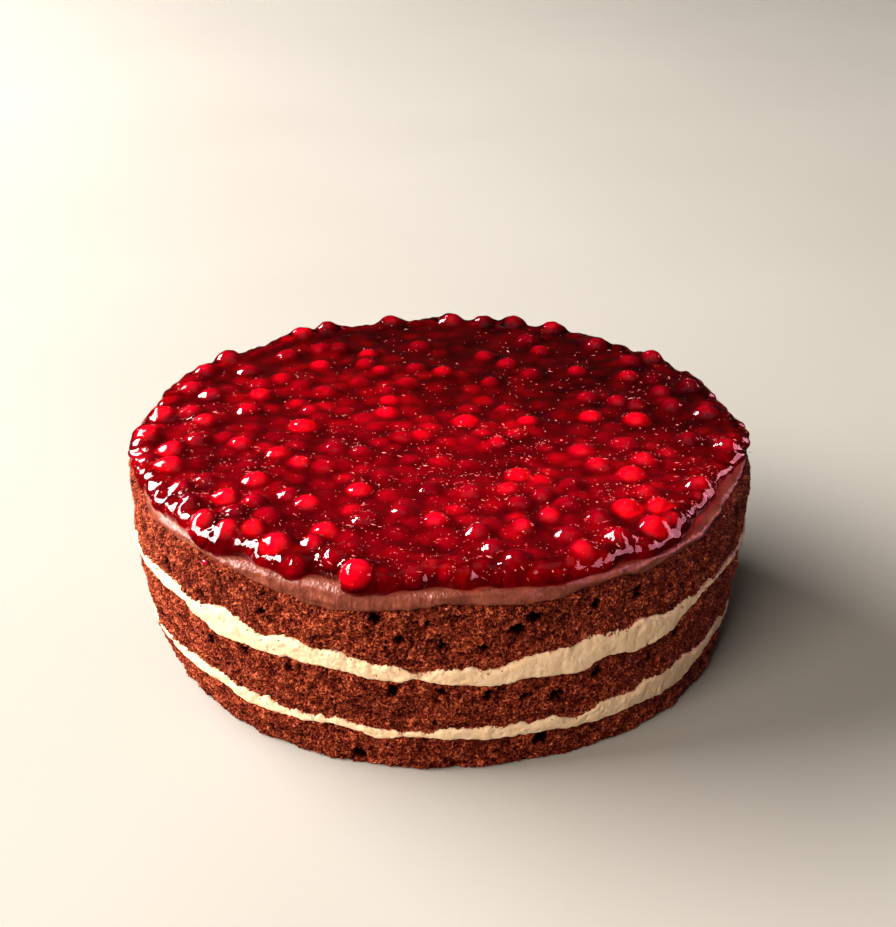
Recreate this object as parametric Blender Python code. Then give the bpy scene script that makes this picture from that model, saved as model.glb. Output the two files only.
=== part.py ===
"""A round chocolate layer cake: three sponges, two cream fillings, chocolate cream and berries in jelly.

The origin is the centre of the underside, +Z is up, and the shown front faces -Y.
Every layer runs through the whole cake. Lengths are in metres.
"""
import math
import random

import bmesh
import bpy
from mathutils import Vector, noise

MM = 0.001

# Driving dimensions
COLUMNS = 96                      # corners round the cake
TOUCH_GAP = 0.3 * MM              # left between two layers that touch
JELLY_LEVEL = 72.0 * MM           # the jelly's flat surface
CREAM_TOP = 68.3 * MM             # mean height of the chocolate cream under the jelly
CREAM_TOP_SWING = 0.95 * MM       # it lies this much higher at the left and right
CRUMB_RELIEF = 0.7 * MM           # unevenness of a sponge's cut side
RELIEF_SCALE = 9.0 * MM           # size of the bumps in that unevenness
UNDERCUT = 2.8 * MM               # how far the foot draws in at the left front
UNDERCUT_ANGLE = -148.0
UNDERCUT_WIDTH = 24.0
UNDERCUT_TOP = 17.0 * MM

# Outside of the stack: height and radius, in mm
SIDE_PROFILE = (
    (0.0, 99.7), (8.0, 101.0), (16.0, 102.4), (25.0, 103.9), (33.0, 105.0), (45.0, 106.2),
    (62.0, 106.8), (80.0, 106.9),
)

# A sponge's edge, foot to top: share of its height, distance out of the side, and share of the relief
SPONGE_EDGE = ((0.0, -0.5 * MM, 0.4), (0.14, 0.1 * MM, 1.0), (0.5, 0.25 * MM, 1.0), (0.86, 0.1 * MM, 1.0),
               (1.0, -0.4 * MM, 0.4))
# A filling's edge: share of its height and distance out of the side
FILLING_EDGE = ((0.0, -0.5 * MM), (0.5, 0.35 * MM), (1.0, -0.4 * MM))
SPONGE_SHIFTS = (0.0, 0.3, 0.6)   # where each sponge reads the relief, so that all three differ

# Chocolate cream
CHOCOLATE_TUCK = 0.9 * MM         # its underside's edge lies this far inside the side
CHOCOLATE_HEEL = 0.5 * MM         # where it comes out of the side, over its underside
CHOCOLATE_HEEL_OUT = 0.25 * MM
CHOCOLATE_BULGE = 0.5 * MM        # out of the side at half its height
CHOCOLATE_BROW = 0.8 * MM         # where its side turns in, under its top
CHOCOLATE_THIN = 0.3              # where it is thin, heel and brow take this share of its height
CHOCOLATE_SHOULDER = 0.25 * MM    # its shoulder, halfway to the jelly, under its top
SHOULDER_OUT = 0.3 * MM
JELLY_CONTACT = 1.6 * MM          # the jelly leaves the cream this far inside its lip

# Jelly's lip: distance inside the outline, and height over the cream or under the level
LIP_UNDER = ((0.2 * MM, 0.9 * MM), (0.0, 1.7 * MM))
LIP_OVER = ((1.1 * MM, 0.6 * MM), (3.2 * MM, 0.0))

# Fillings as they show at the side: angle in degrees, height of the underside and thickness in mm.
# The front is at -90 degrees and the right side at 0.
LOWER_CREAM = (
    (-165, 17.0, 2.0), (-148, 16.7, 2.3), (-134, 16.0, 3.0), (-126, 13.2, 4.6), (-117, 13.7, 2.6),
    (-108, 14.8, 2.2), (-100, 12.0, 3.3), (-94, 13.6, 1.1), (-88, 12.5, 4.2), (-78, 12.0, 4.2),
    (-69, 12.0, 5.2), (-65, 11.0, 3.6), (-60, 10.5, 7.2), (-54, 10.8, 7.0), (-47, 10.0, 9.6),
    (-39, 9.5, 9.8), (-34, 13.0, 5.2), (-27, 15.6, 4.4), (-12, 15.0, 3.0), (10, 13.0, 4.8),
    (38, 11.4, 3.4), (62, 12.6, 6.4), (88, 14.2, 2.8), (112, 12.4, 5.6), (140, 14.5, 3.0),
    (168, 16.4, 3.2),
)
UPPER_CREAM = (
    (-165, 40.0, 3.0), (-150, 42.2, 4.3), (-141, 43.2, 3.4), (-136, 39.3, 5.8), (-131, 36.6, 10.8),
    (-126, 37.6, 9.6), (-122, 37.2, 5.6), (-117, 37.8, 6.6), (-108, 37.5, 6.0), (-101, 35.6, 5.4),
    (-97, 35.2, 6.2), (-94, 36.6, 2.0), (-88, 34.7, 6.0), (-80, 33.3, 6.1), (-75, 34.8, 7.2),
    (-70, 34.2, 10.2), (-66, 33.3, 12.2), (-60, 36.6, 8.2), (-53, 34.5, 10.4), (-46, 35.8, 8.2),
    (-41, 40.6, 4.4), (-36, 43.8, 1.4), (-28, 44.4, 1.2), (-18, 43.4, 1.6), (-6, 41.0, 4.2),
    (16, 38.0, 8.0), (40, 37.0, 5.0), (66, 38.2, 8.6), (92, 36.4, 5.4), (118, 38.0, 9.0), (146, 39.6, 4.6),
)
# Underside of the chocolate cream: angle and height
CREAM_FOOT = (
    (-172, 67.0), (-163, 67.2), (-157, 65.3), (-151, 63.2), (-145, 65.1), (-137, 65.1), (-132, 63.8),
    (-125, 64.0), (-118, 61.0), (-110, 59.0), (-103, 59.4), (-96, 61.2), (-90, 63.0), (-80, 62.3),
    (-72, 62.0), (-65, 63.2), (-59, 64.5), (-52, 62.8), (-46, 65.2), (-38, 65.9), (-33, 67.3),
    (-20, 67.2), (-4, 66.0), (12, 62.8), (32, 64.4), (58, 61.2), (84, 64.2), (110, 61.6),
    (134, 64.2), (160, 62.6),
)
# How far the chocolate cream's side stays inside the sponges' side: angle and distance
CREAM_INSET = (
    (-172, 0.8), (-165, 2.2), (-158, 3.0), (-152, 1.8), (-145, 0.2), (-40, 0.0), (-33, 1.5), (-26, 3.0),
    (-14, 3.0), (-8, 2.2), (2, 1.0), (12, 0.2), (170, 0.2),
)
# Outline of the jelly: angle and radius
JELLY_LIP = (
    (-172, 106.2), (-165, 105.2), (-158, 103.8), (-149, 105.3), (-142, 104.3), (-135, 106.6),
    (-130, 107.2), (-126, 103.0), (-120, 105.9), (-116, 106.4), (-112, 101.2), (-108, 101.8),
    (-104, 106.8), (-99, 107.0), (-94, 102.8), (-90, 101.6), (-86, 103.6), (-82, 102.2),
    (-77, 105.6), (-70, 106.4), (-62, 106.6), (-57, 104.2), (-51, 106.8), (-46, 106.7),
    (-42, 104.0), (-37, 101.0), (-30, 100.8), (-22, 99.2), (-16, 101.4), (-9, 105.0), (0, 105.9),
    (12, 102.4), (27, 105.2), (42, 102.2), (58, 105.4), (74, 102.8), (90, 105.6), (106, 102.6),
    (122, 105.4), (138, 102.4), (154, 105.4), (170, 103.4),
)
# Where the jelly pulls the cream's edge down under it: angle, width in degrees, and depth in mm
DRIPS = (
    (-130, 4.5, 1.1), (-101, 5.5, 0.7), (-49, 6.0, 0.8), (27, 6.0, 0.8), (91, 5.0, 1.0), (154, 6.0, 0.7),
)

# Berries that stand out: x and y of the centre, and radius, in mm
SHOWN_BERRIES = (
    (-24, -101, 4.9), (-27, -90, 3.6), (-49, -84, 4.7), (-57, -75, 3.6), (-35, -76, 4.2),
    (-23, -69, 4.5), (-64, -65, 3.6), (-59, -57, 3.4), (-68, -53, 4.0), (-79, -58, 3.6),
    (-76, -42, 3.6), (-89, -30, 4.6), (-90, -18, 4.6), (-100, -6, 4.2), (-97, 10, 4.2),
    (-42, -57, 3.8), (-26, -48, 4.0), (-60, -40, 3.9), (-3, -48, 3.6), (-1, -69, 3.9),
    (12, -77, 3.6), (17, -88, 3.8), (23, -95, 3.9), (26, -73, 3.0), (40, -79, 4.8), (43, -89, 3.7),
    (50, -68, 3.9), (59, -61, 5.0), (69, -60, 4.2), (66, -73, 4.5), (55, -81, 3.9), (41, -58, 3.9),
    (63, -36, 4.5), (43, -44, 3.7), (26, -37, 4.1), (10, -49, 3.8), (33, -52, 3.3), (84, -45, 3.9),
    (97, -16, 4.2), (85, -10, 3.6), (48, -18, 4.7), (63, -13, 4.6), (69, 7, 4.6), (53, 10, 4.0),
    (9, 6, 4.7), (-19, 13, 4.1), (-48, 2, 4.6), (-68, -13, 4.0), (-36, -16, 4.4), (-68, 15, 3.6),
    (-88, 12, 4.2), (-82, 5, 3.6), (-12, 39, 4.4), (1, 49, 3.9), (-8, 74, 3.9), (25, 57, 3.9),
    (38, 69, 3.5), (60, 75, 4.0), (71, 58, 4.1), (94, 12, 4.0), (91, 35, 3.8), (80, 62, 3.8),
    (-58, 42, 4.1), (-65, 28, 3.8), (-42, 31, 4.2), (-71, 49, 3.9), (-58, 64, 3.9), (-46, 71, 3.5),
    (-80, 61, 3.8), (-87, 49, 3.8), (-90, 33, 3.8), (-54, 86, 3.8), (-45, 92, 3.8), (-19, 99, 4.0),
    (4, 100, 4.4), (17, 99, 3.8), (29, 98, 3.9), (44, 92, 3.8), (-83, -10, 3.6), (73, -70, 3.0),
    (-83, -48, 2.8), (-73, -69, 4.0), (-65, -75, 3.6), (-31, -94, 3.4),
)
FILL_BERRIES = 44                 # further ones, spread evenly between those
FILL_SEED = 23
FILL_REACH = 97.0 * MM            # farthest from the middle
FILL_SIZES = (3.1 * MM, 4.3 * MM) # least and greatest radius
FILL_TRIES = 20000
BERRY_SIDES = 9
BERRY_RINGS = (-35.0, 0.0, 32.0, 62.0)   # elevation in degrees of a berry's rings, lowest first
RISE_CENTRE = 1.8 * MM            # how far a berry stands out of the jelly at the middle
RISE_RIM = 3.6 * MM               # and at the rim
BERRY_SPACE = 0.5 * MM            # least distance between two berries
BERRY_FLOOR = 0.5 * MM            # left between a berry and the jelly's underside
RIM_REACH = 100.0 * MM            # distance from the middle that counts as the rim
SCRAP_LENGTH = 0.002 * MM         # edges shorter than this are closed after the union
SHARP_LAYER = 40.0                # degrees between faces that shade as an edge, on a layer
SHARP_BERRY = 50.0                # and on the berries

# Colours: red, green and blue from 0 to 1, then roughness
SPONGE_FINISH = ((0.20, 0.062, 0.026), 0.9)
CREAM_FINISH = ((0.83, 0.70, 0.46), 0.55)
CHOCOLATE_FINISH = ((0.36, 0.19, 0.14), 0.42)
JELLY_FINISH = ((0.42, 0.004, 0.012), 0.08)


def clear_scene():
    """Remove whatever the scene holds."""
    for item in list(bpy.data.objects):
        bpy.data.objects.remove(item, do_unlink=True)


def make_material(name, finish):
    """Return a Principled material of one colour."""
    colour, roughness = finish
    material = bpy.data.materials.new(name)
    material.use_nodes = True
    shader = material.node_tree.nodes["Principled BSDF"]
    shader.inputs["Base Color"].default_value = (*colour, 1.0)
    shader.inputs["Roughness"].default_value = roughness
    shader.inputs["Metallic"].default_value = 0.0
    return material


def column_angles():
    """Return the angle in degrees of each column, from -180 up."""
    return [-180.0 + 360.0 * column / COLUMNS for column in range(COLUMNS)]


def turn_between(start, end):
    """Return the angle in degrees from start round to end, from 0 up to 360."""
    return (end - start) % 360.0


def read_rows(rows, angle, column=1):
    """Read a table of rows by angle, eased from one row to the next round the cake."""
    for index, row in enumerate(rows):
        following = rows[(index + 1) % len(rows)]
        span = turn_between(row[0], following[0])
        turned = turn_between(row[0], angle)
        if turned < span:
            share = 0.5 - 0.5 * math.cos(math.pi * turned / span)
            return (row[column] + (following[column] - row[column]) * share) * MM
    return rows[0][column] * MM


def side_radius(angle, height):
    """Return the radius of the stack's outside at an angle and a height."""
    radius = SIDE_PROFILE[-1][1] * MM
    for (low, low_radius), (high, high_radius) in zip(SIDE_PROFILE, SIDE_PROFILE[1:]):
        if height <= high * MM:
            share = (height / MM - low) / (high - low)
            radius = (low_radius + (high_radius - low_radius) * share) * MM
            break
    off_angle = (angle - UNDERCUT_ANGLE + 180.0) % 360.0 - 180.0
    fade = max(0.0, 1.0 - height / UNDERCUT_TOP)
    return radius - UNDERCUT * fade * math.exp(-(off_angle / UNDERCUT_WIDTH) ** 2)


def relief(angle, height, shift):
    """Return the crumb's bump at a place on the side, from about -1 to 1."""
    radius = side_radius(angle, height)
    turn = math.radians(angle)
    place = Vector((radius * math.cos(turn), radius * math.sin(turn), height + shift))
    return noise.noise(place / RELIEF_SCALE) * 2.0


def ring(radius_at, height_at):
    """Return one ring of corners from a radius and a height by angle."""
    corners = []
    for angle in column_angles():
        turn = math.radians(angle)
        radius = radius_at(angle)
        corners.append(Vector((radius * math.cos(turn), radius * math.sin(turn), height_at(angle))))
    return corners


def close_end(form, loop, is_flat):
    """Close an end with one flat face, or with a fan to a middle corner of mean height."""
    if is_flat:
        form.faces.new(loop)
        return
    height = sum(corner.co.z for corner in loop) / len(loop)
    middle = form.verts.new((0.0, 0.0, height))
    for corner, beside in zip(loop, loop[1:] + loop[:1]):
        form.faces.new((corner, beside, middle))


def solid_from_rings(name, rings, material, flat_foot=False, flat_top=False):
    """Make a closed solid from rings, lowest first; an end that isn't flat is a fan to its middle."""
    form = bmesh.new()
    loops = [[form.verts.new(corner) for corner in corners] for corners in rings]
    for low, high in zip(loops, loops[1:]):
        for column in range(COLUMNS):
            beside = (column + 1) % COLUMNS
            form.faces.new((low[column], low[beside], high[beside]))
            form.faces.new((low[column], high[beside], high[column]))
    close_end(form, loops[0][::-1], flat_foot)
    close_end(form, loops[-1], flat_top)
    bmesh.ops.recalc_face_normals(form, faces=form.faces)
    mesh = bpy.data.meshes.new(name)
    form.to_mesh(mesh)
    form.free()
    mesh.materials.append(material)
    mesh.shade_smooth()
    mesh.set_sharp_from_angle(angle=math.radians(SHARP_LAYER))
    item = bpy.data.objects.new(name, mesh)
    bpy.context.scene.collection.objects.link(item)
    return item


def lower_cream_foot(angle):
    return read_rows(LOWER_CREAM, angle)


def lower_cream_top(angle):
    return lower_cream_foot(angle) + read_rows(LOWER_CREAM, angle, 2)


def upper_cream_foot(angle):
    return read_rows(UPPER_CREAM, angle)


def upper_cream_top(angle):
    return upper_cream_foot(angle) + read_rows(UPPER_CREAM, angle, 2)


def chocolate_foot(angle):
    return read_rows(CREAM_FOOT, angle)


def level_top(angle):
    """Return the height of the chocolate cream's top without its drips."""
    return CREAM_TOP + CREAM_TOP_SWING * math.cos(math.radians(2.0 * angle))


def chocolate_top(angle):
    """Return the height of the chocolate cream's top along the jelly's edge."""
    drop = 0.0
    for middle, width, depth in DRIPS:
        off_angle = (angle - middle + 180.0) % 360.0 - 180.0
        drop += depth * MM * math.exp(-(off_angle / width) ** 2)
    return level_top(angle) - drop


def cream_radius(angle):
    """Return the radius of the chocolate cream's side."""
    return side_radius(angle, CREAM_TOP) - read_rows(CREAM_INSET, angle)


def lip_radius(angle):
    return read_rows(JELLY_LIP, angle)


def make_sponge(name, foot, top, shift, material):
    """Make a sponge between two uneven faces; foot is None where it stands on the floor."""
    half_gap = TOUCH_GAP / 2.0

    def low(angle):
        return foot(angle) + half_gap if foot else 0.0

    def high(angle):
        return top(angle) - half_gap

    def level(share):
        return lambda angle: low(angle) + (high(angle) - low(angle)) * share

    def outside(share, bulge, amount):
        def radius_at(angle):
            height = level(share)(angle)
            return side_radius(angle, height) + bulge + CRUMB_RELIEF * amount * relief(angle, height, shift)
        return radius_at

    rings = [ring(outside(share, bulge, amount), level(share)) for share, bulge, amount in SPONGE_EDGE]
    return solid_from_rings(name, rings, material, flat_foot=foot is None)


def make_filling(name, foot, top, material):
    """Make a cream filling that bulges a little between two sponges."""
    half_gap = TOUCH_GAP / 2.0

    def level(share):
        return lambda angle: (foot(angle) + half_gap) * (1.0 - share) + (top(angle) - half_gap) * share

    def outside(share, bulge):
        height = level(share)
        return lambda angle: side_radius(angle, height(angle)) + bulge

    rings = [ring(outside(share, bulge), level(share)) for share, bulge in FILLING_EDGE]
    return solid_from_rings(name, rings, material)


def make_chocolate_cream(material):
    """Make the chocolate cream: a soft rounded edge over the top sponge, and a shoulder round the jelly."""
    half_gap = TOUCH_GAP / 2.0

    def low(angle):
        return chocolate_foot(angle) + half_gap

    def high(angle):
        return chocolate_top(angle) - half_gap

    def thickness(angle):
        return high(angle) - low(angle)

    def heel(angle):
        return low(angle) + min(CHOCOLATE_HEEL, CHOCOLATE_THIN * thickness(angle))

    def middle(angle):
        return (low(angle) + high(angle)) / 2.0

    def brow(angle):
        return high(angle) - min(CHOCOLATE_BROW, CHOCOLATE_THIN * thickness(angle))

    def rim(extra):
        return lambda angle: cream_radius(angle) + extra

    def contact(angle):
        return lip_radius(angle) - JELLY_CONTACT

    def shoulder(angle):
        return (contact(angle) + cream_radius(angle)) / 2.0 + SHOULDER_OUT

    rings = [
        ring(rim(-CHOCOLATE_TUCK), low),
        ring(rim(CHOCOLATE_HEEL_OUT), heel),
        ring(rim(CHOCOLATE_BULGE), middle),
        ring(rim(0.0), brow),
        ring(shoulder, lambda angle: high(angle) - CHOCOLATE_SHOULDER),
        ring(contact, high),
    ]
    return solid_from_rings("chocolate_cream", rings, material)


def make_jelly_core(material):
    """Make the jelly with its rounded, scalloped lip, before the berries are fused on."""
    def lip(inset):
        return lambda angle: lip_radius(angle) - inset

    def above_cream(rise):
        return lambda angle: chocolate_top(angle) + rise

    def level(drop):
        return lambda angle: JELLY_LEVEL - drop

    rings = [ring(lip(JELLY_CONTACT), above_cream(TOUCH_GAP / 2.0))]
    rings += [ring(lip(inset), above_cream(rise)) for inset, rise in LIP_UNDER]
    rings += [ring(lip(inset), level(drop)) for inset, drop in LIP_OVER]
    return solid_from_rings("berry_jelly", rings, material, flat_top=True)


def berry_rise(x, y):
    """Return how far a berry there stands out of the jelly."""
    share = min(1.0, math.hypot(x, y) / RIM_REACH)
    return RISE_CENTRE + (RISE_RIM - RISE_CENTRE) * share ** 3


def berry_places():
    """Return each berry's x, y and radius: the shown ones, then seeded ones in the free places."""
    places = [(x * MM, y * MM, radius * MM) for x, y, radius in SHOWN_BERRIES]
    draw = random.Random(FILL_SEED)
    wanted = len(places) + FILL_BERRIES
    tries = 0
    while len(places) < wanted and tries < FILL_TRIES:
        tries += 1
        reach = FILL_REACH * math.sqrt(draw.random())
        turn = draw.uniform(-math.pi, math.pi)
        radius = draw.uniform(*FILL_SIZES)
        x = reach * math.cos(turn)
        y = reach * math.sin(turn)
        if all(math.hypot(x - a, y - b) > radius + c + BERRY_SPACE for a, b, c in places):
            places.append((x, y, radius))
    return places


def make_berry(x, y, radius):
    """Make one round berry with a flat foot that stays inside the jelly."""
    angle = math.degrees(math.atan2(y, x))
    centre = JELLY_LEVEL + berry_rise(x, y) - radius
    floor = level_top(angle) + TOUCH_GAP / 2.0 + BERRY_FLOOR
    form = bmesh.new()
    loops = []
    turned = math.radians(angle)
    for elevation in BERRY_RINGS:
        tilt = math.radians(elevation)
        height = max(centre + radius * math.sin(tilt), floor)
        across = radius * math.cos(tilt)
        loop = []
        for side in range(BERRY_SIDES):
            turn = turned + 2.0 * math.pi * side / BERRY_SIDES
            loop.append(form.verts.new((x + across * math.cos(turn), y + across * math.sin(turn), height)))
        loops.append(loop)
    form.faces.new(loops[0][::-1])
    for low, high in zip(loops, loops[1:]):
        for side in range(BERRY_SIDES):
            beside = (side + 1) % BERRY_SIDES
            form.faces.new((low[side], low[beside], high[beside], high[side]))
    crown = form.verts.new((x, y, centre + radius))
    for side in range(BERRY_SIDES):
        form.faces.new((loops[-1][side], loops[-1][(side + 1) % BERRY_SIDES], crown))
    bmesh.ops.recalc_face_normals(form, faces=form.faces)
    mesh = bpy.data.meshes.new("berry")
    form.to_mesh(mesh)
    form.free()
    return bpy.data.objects.new("berry", mesh)


def fuse_berries(jelly):
    """Join every berry to the jelly with one union, and keep the largest body."""
    berries = bpy.data.collections.new("berries")
    bpy.context.scene.collection.children.link(berries)
    for place in berry_places():
        berries.objects.link(make_berry(*place))
    union = jelly.modifiers.new("berries", "BOOLEAN")
    union.operation = "UNION"
    union.operand_type = "COLLECTION"
    union.collection = berries
    union.solver = "EXACT"
    depsgraph = bpy.context.evaluated_depsgraph_get()
    fused = bpy.data.meshes.new_from_object(jelly.evaluated_get(depsgraph), depsgraph=depsgraph)
    jelly.modifiers.clear()
    jelly.data = fused
    fused.name = jelly.name
    for item in list(berries.objects):
        bpy.data.objects.remove(item, do_unlink=True)
    bpy.data.collections.remove(berries)
    keep_largest_body(fused)
    fused.shade_smooth()
    fused.set_sharp_from_angle(angle=math.radians(SHARP_BERRY))


def keep_largest_body(mesh):
    """Drop loose scraps and the walls of sealed hollows."""
    form = bmesh.new()
    form.from_mesh(mesh)
    bmesh.ops.dissolve_degenerate(form, dist=SCRAP_LENGTH, edges=form.edges)
    bmesh.ops.triangulate(form, faces=form.faces)
    unseen = set(form.faces)
    bodies = []
    while unseen:
        front = [unseen.pop()]
        body = list(front)
        while front:
            face = front.pop()
            for edge in face.edges:
                for beside in edge.link_faces:
                    if beside in unseen:
                        unseen.remove(beside)
                        front.append(beside)
                        body.append(beside)
        bodies.append(body)
    bodies.sort(key=len)
    scraps = [face for body in bodies[:-1] for face in body]
    bmesh.ops.delete(form, geom=scraps, context="FACES")
    form.to_mesh(mesh)
    form.free()


def main():
    clear_scene()
    sponge = make_material("sponge", SPONGE_FINISH)
    cream = make_material("cream", CREAM_FINISH)
    chocolate = make_material("chocolate_cream", CHOCOLATE_FINISH)
    jelly_red = make_material("jelly", JELLY_FINISH)
    make_sponge("sponge_bottom", None, lower_cream_foot, SPONGE_SHIFTS[0], sponge)
    make_filling("cream_lower", lower_cream_foot, lower_cream_top, cream)
    make_sponge("sponge_middle", lower_cream_top, upper_cream_foot, SPONGE_SHIFTS[1], sponge.copy())
    make_filling("cream_upper", upper_cream_foot, upper_cream_top, cream.copy())
    make_sponge("sponge_top", upper_cream_top, chocolate_foot, SPONGE_SHIFTS[2], sponge.copy())
    make_chocolate_cream(chocolate)
    fuse_berries(make_jelly_core(jelly_red))


main()
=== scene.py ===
"""The looks of a round chocolate layer cake, topped with red berries in jelly.

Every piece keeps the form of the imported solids: the tables and rules that it shares with them are repeated
here. The origin is the centre of the underside, +Z is up, and the shown front faces -Y. Lengths are in
metres, except in the tables, which are in millimetres. Angles are in degrees, with the front at -90.
"""
import itertools
import math
import random

import bpy
import numpy as np
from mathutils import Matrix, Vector, noise

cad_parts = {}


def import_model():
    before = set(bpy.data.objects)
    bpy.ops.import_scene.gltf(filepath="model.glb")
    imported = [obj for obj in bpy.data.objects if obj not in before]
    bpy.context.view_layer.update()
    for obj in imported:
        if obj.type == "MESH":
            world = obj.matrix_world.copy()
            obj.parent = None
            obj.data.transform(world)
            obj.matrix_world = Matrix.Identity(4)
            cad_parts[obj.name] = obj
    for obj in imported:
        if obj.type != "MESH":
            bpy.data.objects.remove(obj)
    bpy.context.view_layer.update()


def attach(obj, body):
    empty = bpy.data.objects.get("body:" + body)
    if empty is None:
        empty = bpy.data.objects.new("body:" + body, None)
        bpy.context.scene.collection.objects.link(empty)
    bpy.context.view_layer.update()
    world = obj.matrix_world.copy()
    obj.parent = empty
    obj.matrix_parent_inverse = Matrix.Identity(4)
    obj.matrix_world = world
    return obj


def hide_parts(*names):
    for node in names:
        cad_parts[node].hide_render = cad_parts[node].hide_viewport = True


MM = 0.001

# ---- Sizes and tables shared with the solids ----
JELLY_LEVEL = 72.0 * MM
CREAM_TOP = 68.3 * MM
CREAM_TOP_SWING = 0.95 * MM
CRUMB_RELIEF = 0.7 * MM
RELIEF_SCALE = 9.0 * MM
UNDERCUT = 2.8 * MM
UNDERCUT_ANGLE = -148.0
UNDERCUT_WIDTH = 24.0
UNDERCUT_TOP = 17.0 * MM
SPONGE_SHIFTS = (0.0, 0.3, 0.6)
SIDE_PROFILE = (
    (0.0, 99.7), (8.0, 101.0), (16.0, 102.4), (25.0, 103.9), (33.0, 105.0), (45.0, 106.2),
    (62.0, 106.8), (80.0, 106.9),
)
LOWER_CREAM = (
    (-165, 17.0, 2.0), (-148, 16.7, 2.3), (-134, 16.0, 3.0), (-126, 13.2, 4.6), (-117, 13.7, 2.6),
    (-108, 14.8, 2.2), (-100, 12.0, 3.3), (-94, 13.6, 1.1), (-88, 12.5, 4.2), (-78, 12.0, 4.2),
    (-69, 12.0, 5.2), (-65, 11.0, 3.6), (-60, 10.5, 7.2), (-54, 10.8, 7.0), (-47, 10.0, 9.6),
    (-39, 9.5, 9.8), (-34, 13.0, 5.2), (-27, 15.6, 4.4), (-12, 15.0, 3.0), (10, 13.0, 4.8),
    (38, 11.4, 3.4), (62, 12.6, 6.4), (88, 14.2, 2.8), (112, 12.4, 5.6), (140, 14.5, 3.0),
    (168, 16.4, 3.2),
)
UPPER_CREAM = (
    (-165, 40.0, 3.0), (-150, 42.2, 4.3), (-141, 43.2, 3.4), (-136, 39.3, 5.8), (-131, 36.6, 10.8),
    (-126, 37.6, 9.6), (-122, 37.2, 5.6), (-117, 37.8, 6.6), (-108, 37.5, 6.0), (-101, 35.6, 5.4),
    (-97, 35.2, 6.2), (-94, 36.6, 2.0), (-88, 34.7, 6.0), (-80, 33.3, 6.1), (-75, 34.8, 7.2),
    (-70, 34.2, 10.2), (-66, 33.3, 12.2), (-60, 36.6, 8.2), (-53, 34.5, 10.4), (-46, 35.8, 8.2),
    (-41, 40.6, 4.4), (-36, 43.8, 1.4), (-28, 44.4, 1.2), (-18, 43.4, 1.6), (-6, 41.0, 4.2),
    (16, 38.0, 8.0), (40, 37.0, 5.0), (66, 38.2, 8.6), (92, 36.4, 5.4), (118, 38.0, 9.0),
    (146, 39.6, 4.6),
)
CREAM_FOOT = (
    (-172, 67.0), (-163, 67.2), (-157, 65.3), (-151, 63.2), (-145, 65.1), (-137, 65.1), (-132, 63.8),
    (-125, 64.0), (-118, 61.0), (-110, 59.0), (-103, 59.4), (-96, 61.2), (-90, 63.0), (-80, 62.3),
    (-72, 62.0), (-65, 63.2), (-59, 64.5), (-52, 62.8), (-46, 65.2), (-38, 65.9), (-33, 67.3),
    (-20, 67.2), (-4, 66.0), (12, 62.8), (32, 64.4), (58, 61.2), (84, 64.2), (110, 61.6),
    (134, 64.2), (160, 62.6),
)
# How far the chocolate cream's side stays inside the sponges' side: angle and distance
CREAM_INSET = (
    (-172, 0.8), (-165, 2.2), (-158, 3.0), (-152, 1.8), (-145, 0.2), (-40, 0.0), (-33, 1.5), (-26, 3.0),
    (-14, 3.0), (-8, 2.2), (2, 1.0), (12, 0.2), (170, 0.2),
)
JELLY_LIP = (
    (-172, 106.2), (-165, 105.2), (-158, 103.8), (-149, 105.3), (-142, 104.3), (-135, 106.6),
    (-130, 107.2), (-126, 103.0), (-120, 105.9), (-116, 106.4), (-112, 101.2), (-108, 101.8),
    (-104, 106.8), (-99, 107.0), (-94, 102.8), (-90, 101.6), (-86, 103.6), (-82, 102.2),
    (-77, 105.6), (-70, 106.4), (-62, 106.6), (-57, 104.2), (-51, 106.8), (-46, 106.7),
    (-42, 104.0), (-37, 101.0), (-30, 100.8), (-22, 99.2), (-16, 101.4), (-9, 105.0), (0, 105.9),
    (12, 102.4), (27, 105.2), (42, 102.2), (58, 105.4), (74, 102.8), (90, 105.6), (106, 102.6),
    (122, 105.4), (138, 102.4), (154, 105.4), (170, 103.4),
)
# Where the jelly pulls the cream's edge down under it: angle, width in degrees, and depth
DRIPS = (
    (-130, 4.5, 1.1), (-101, 5.5, 0.7), (-49, 6.0, 0.8), (27, 6.0, 0.8), (91, 5.0, 1.0), (154, 6.0, 0.7),
)
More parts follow.
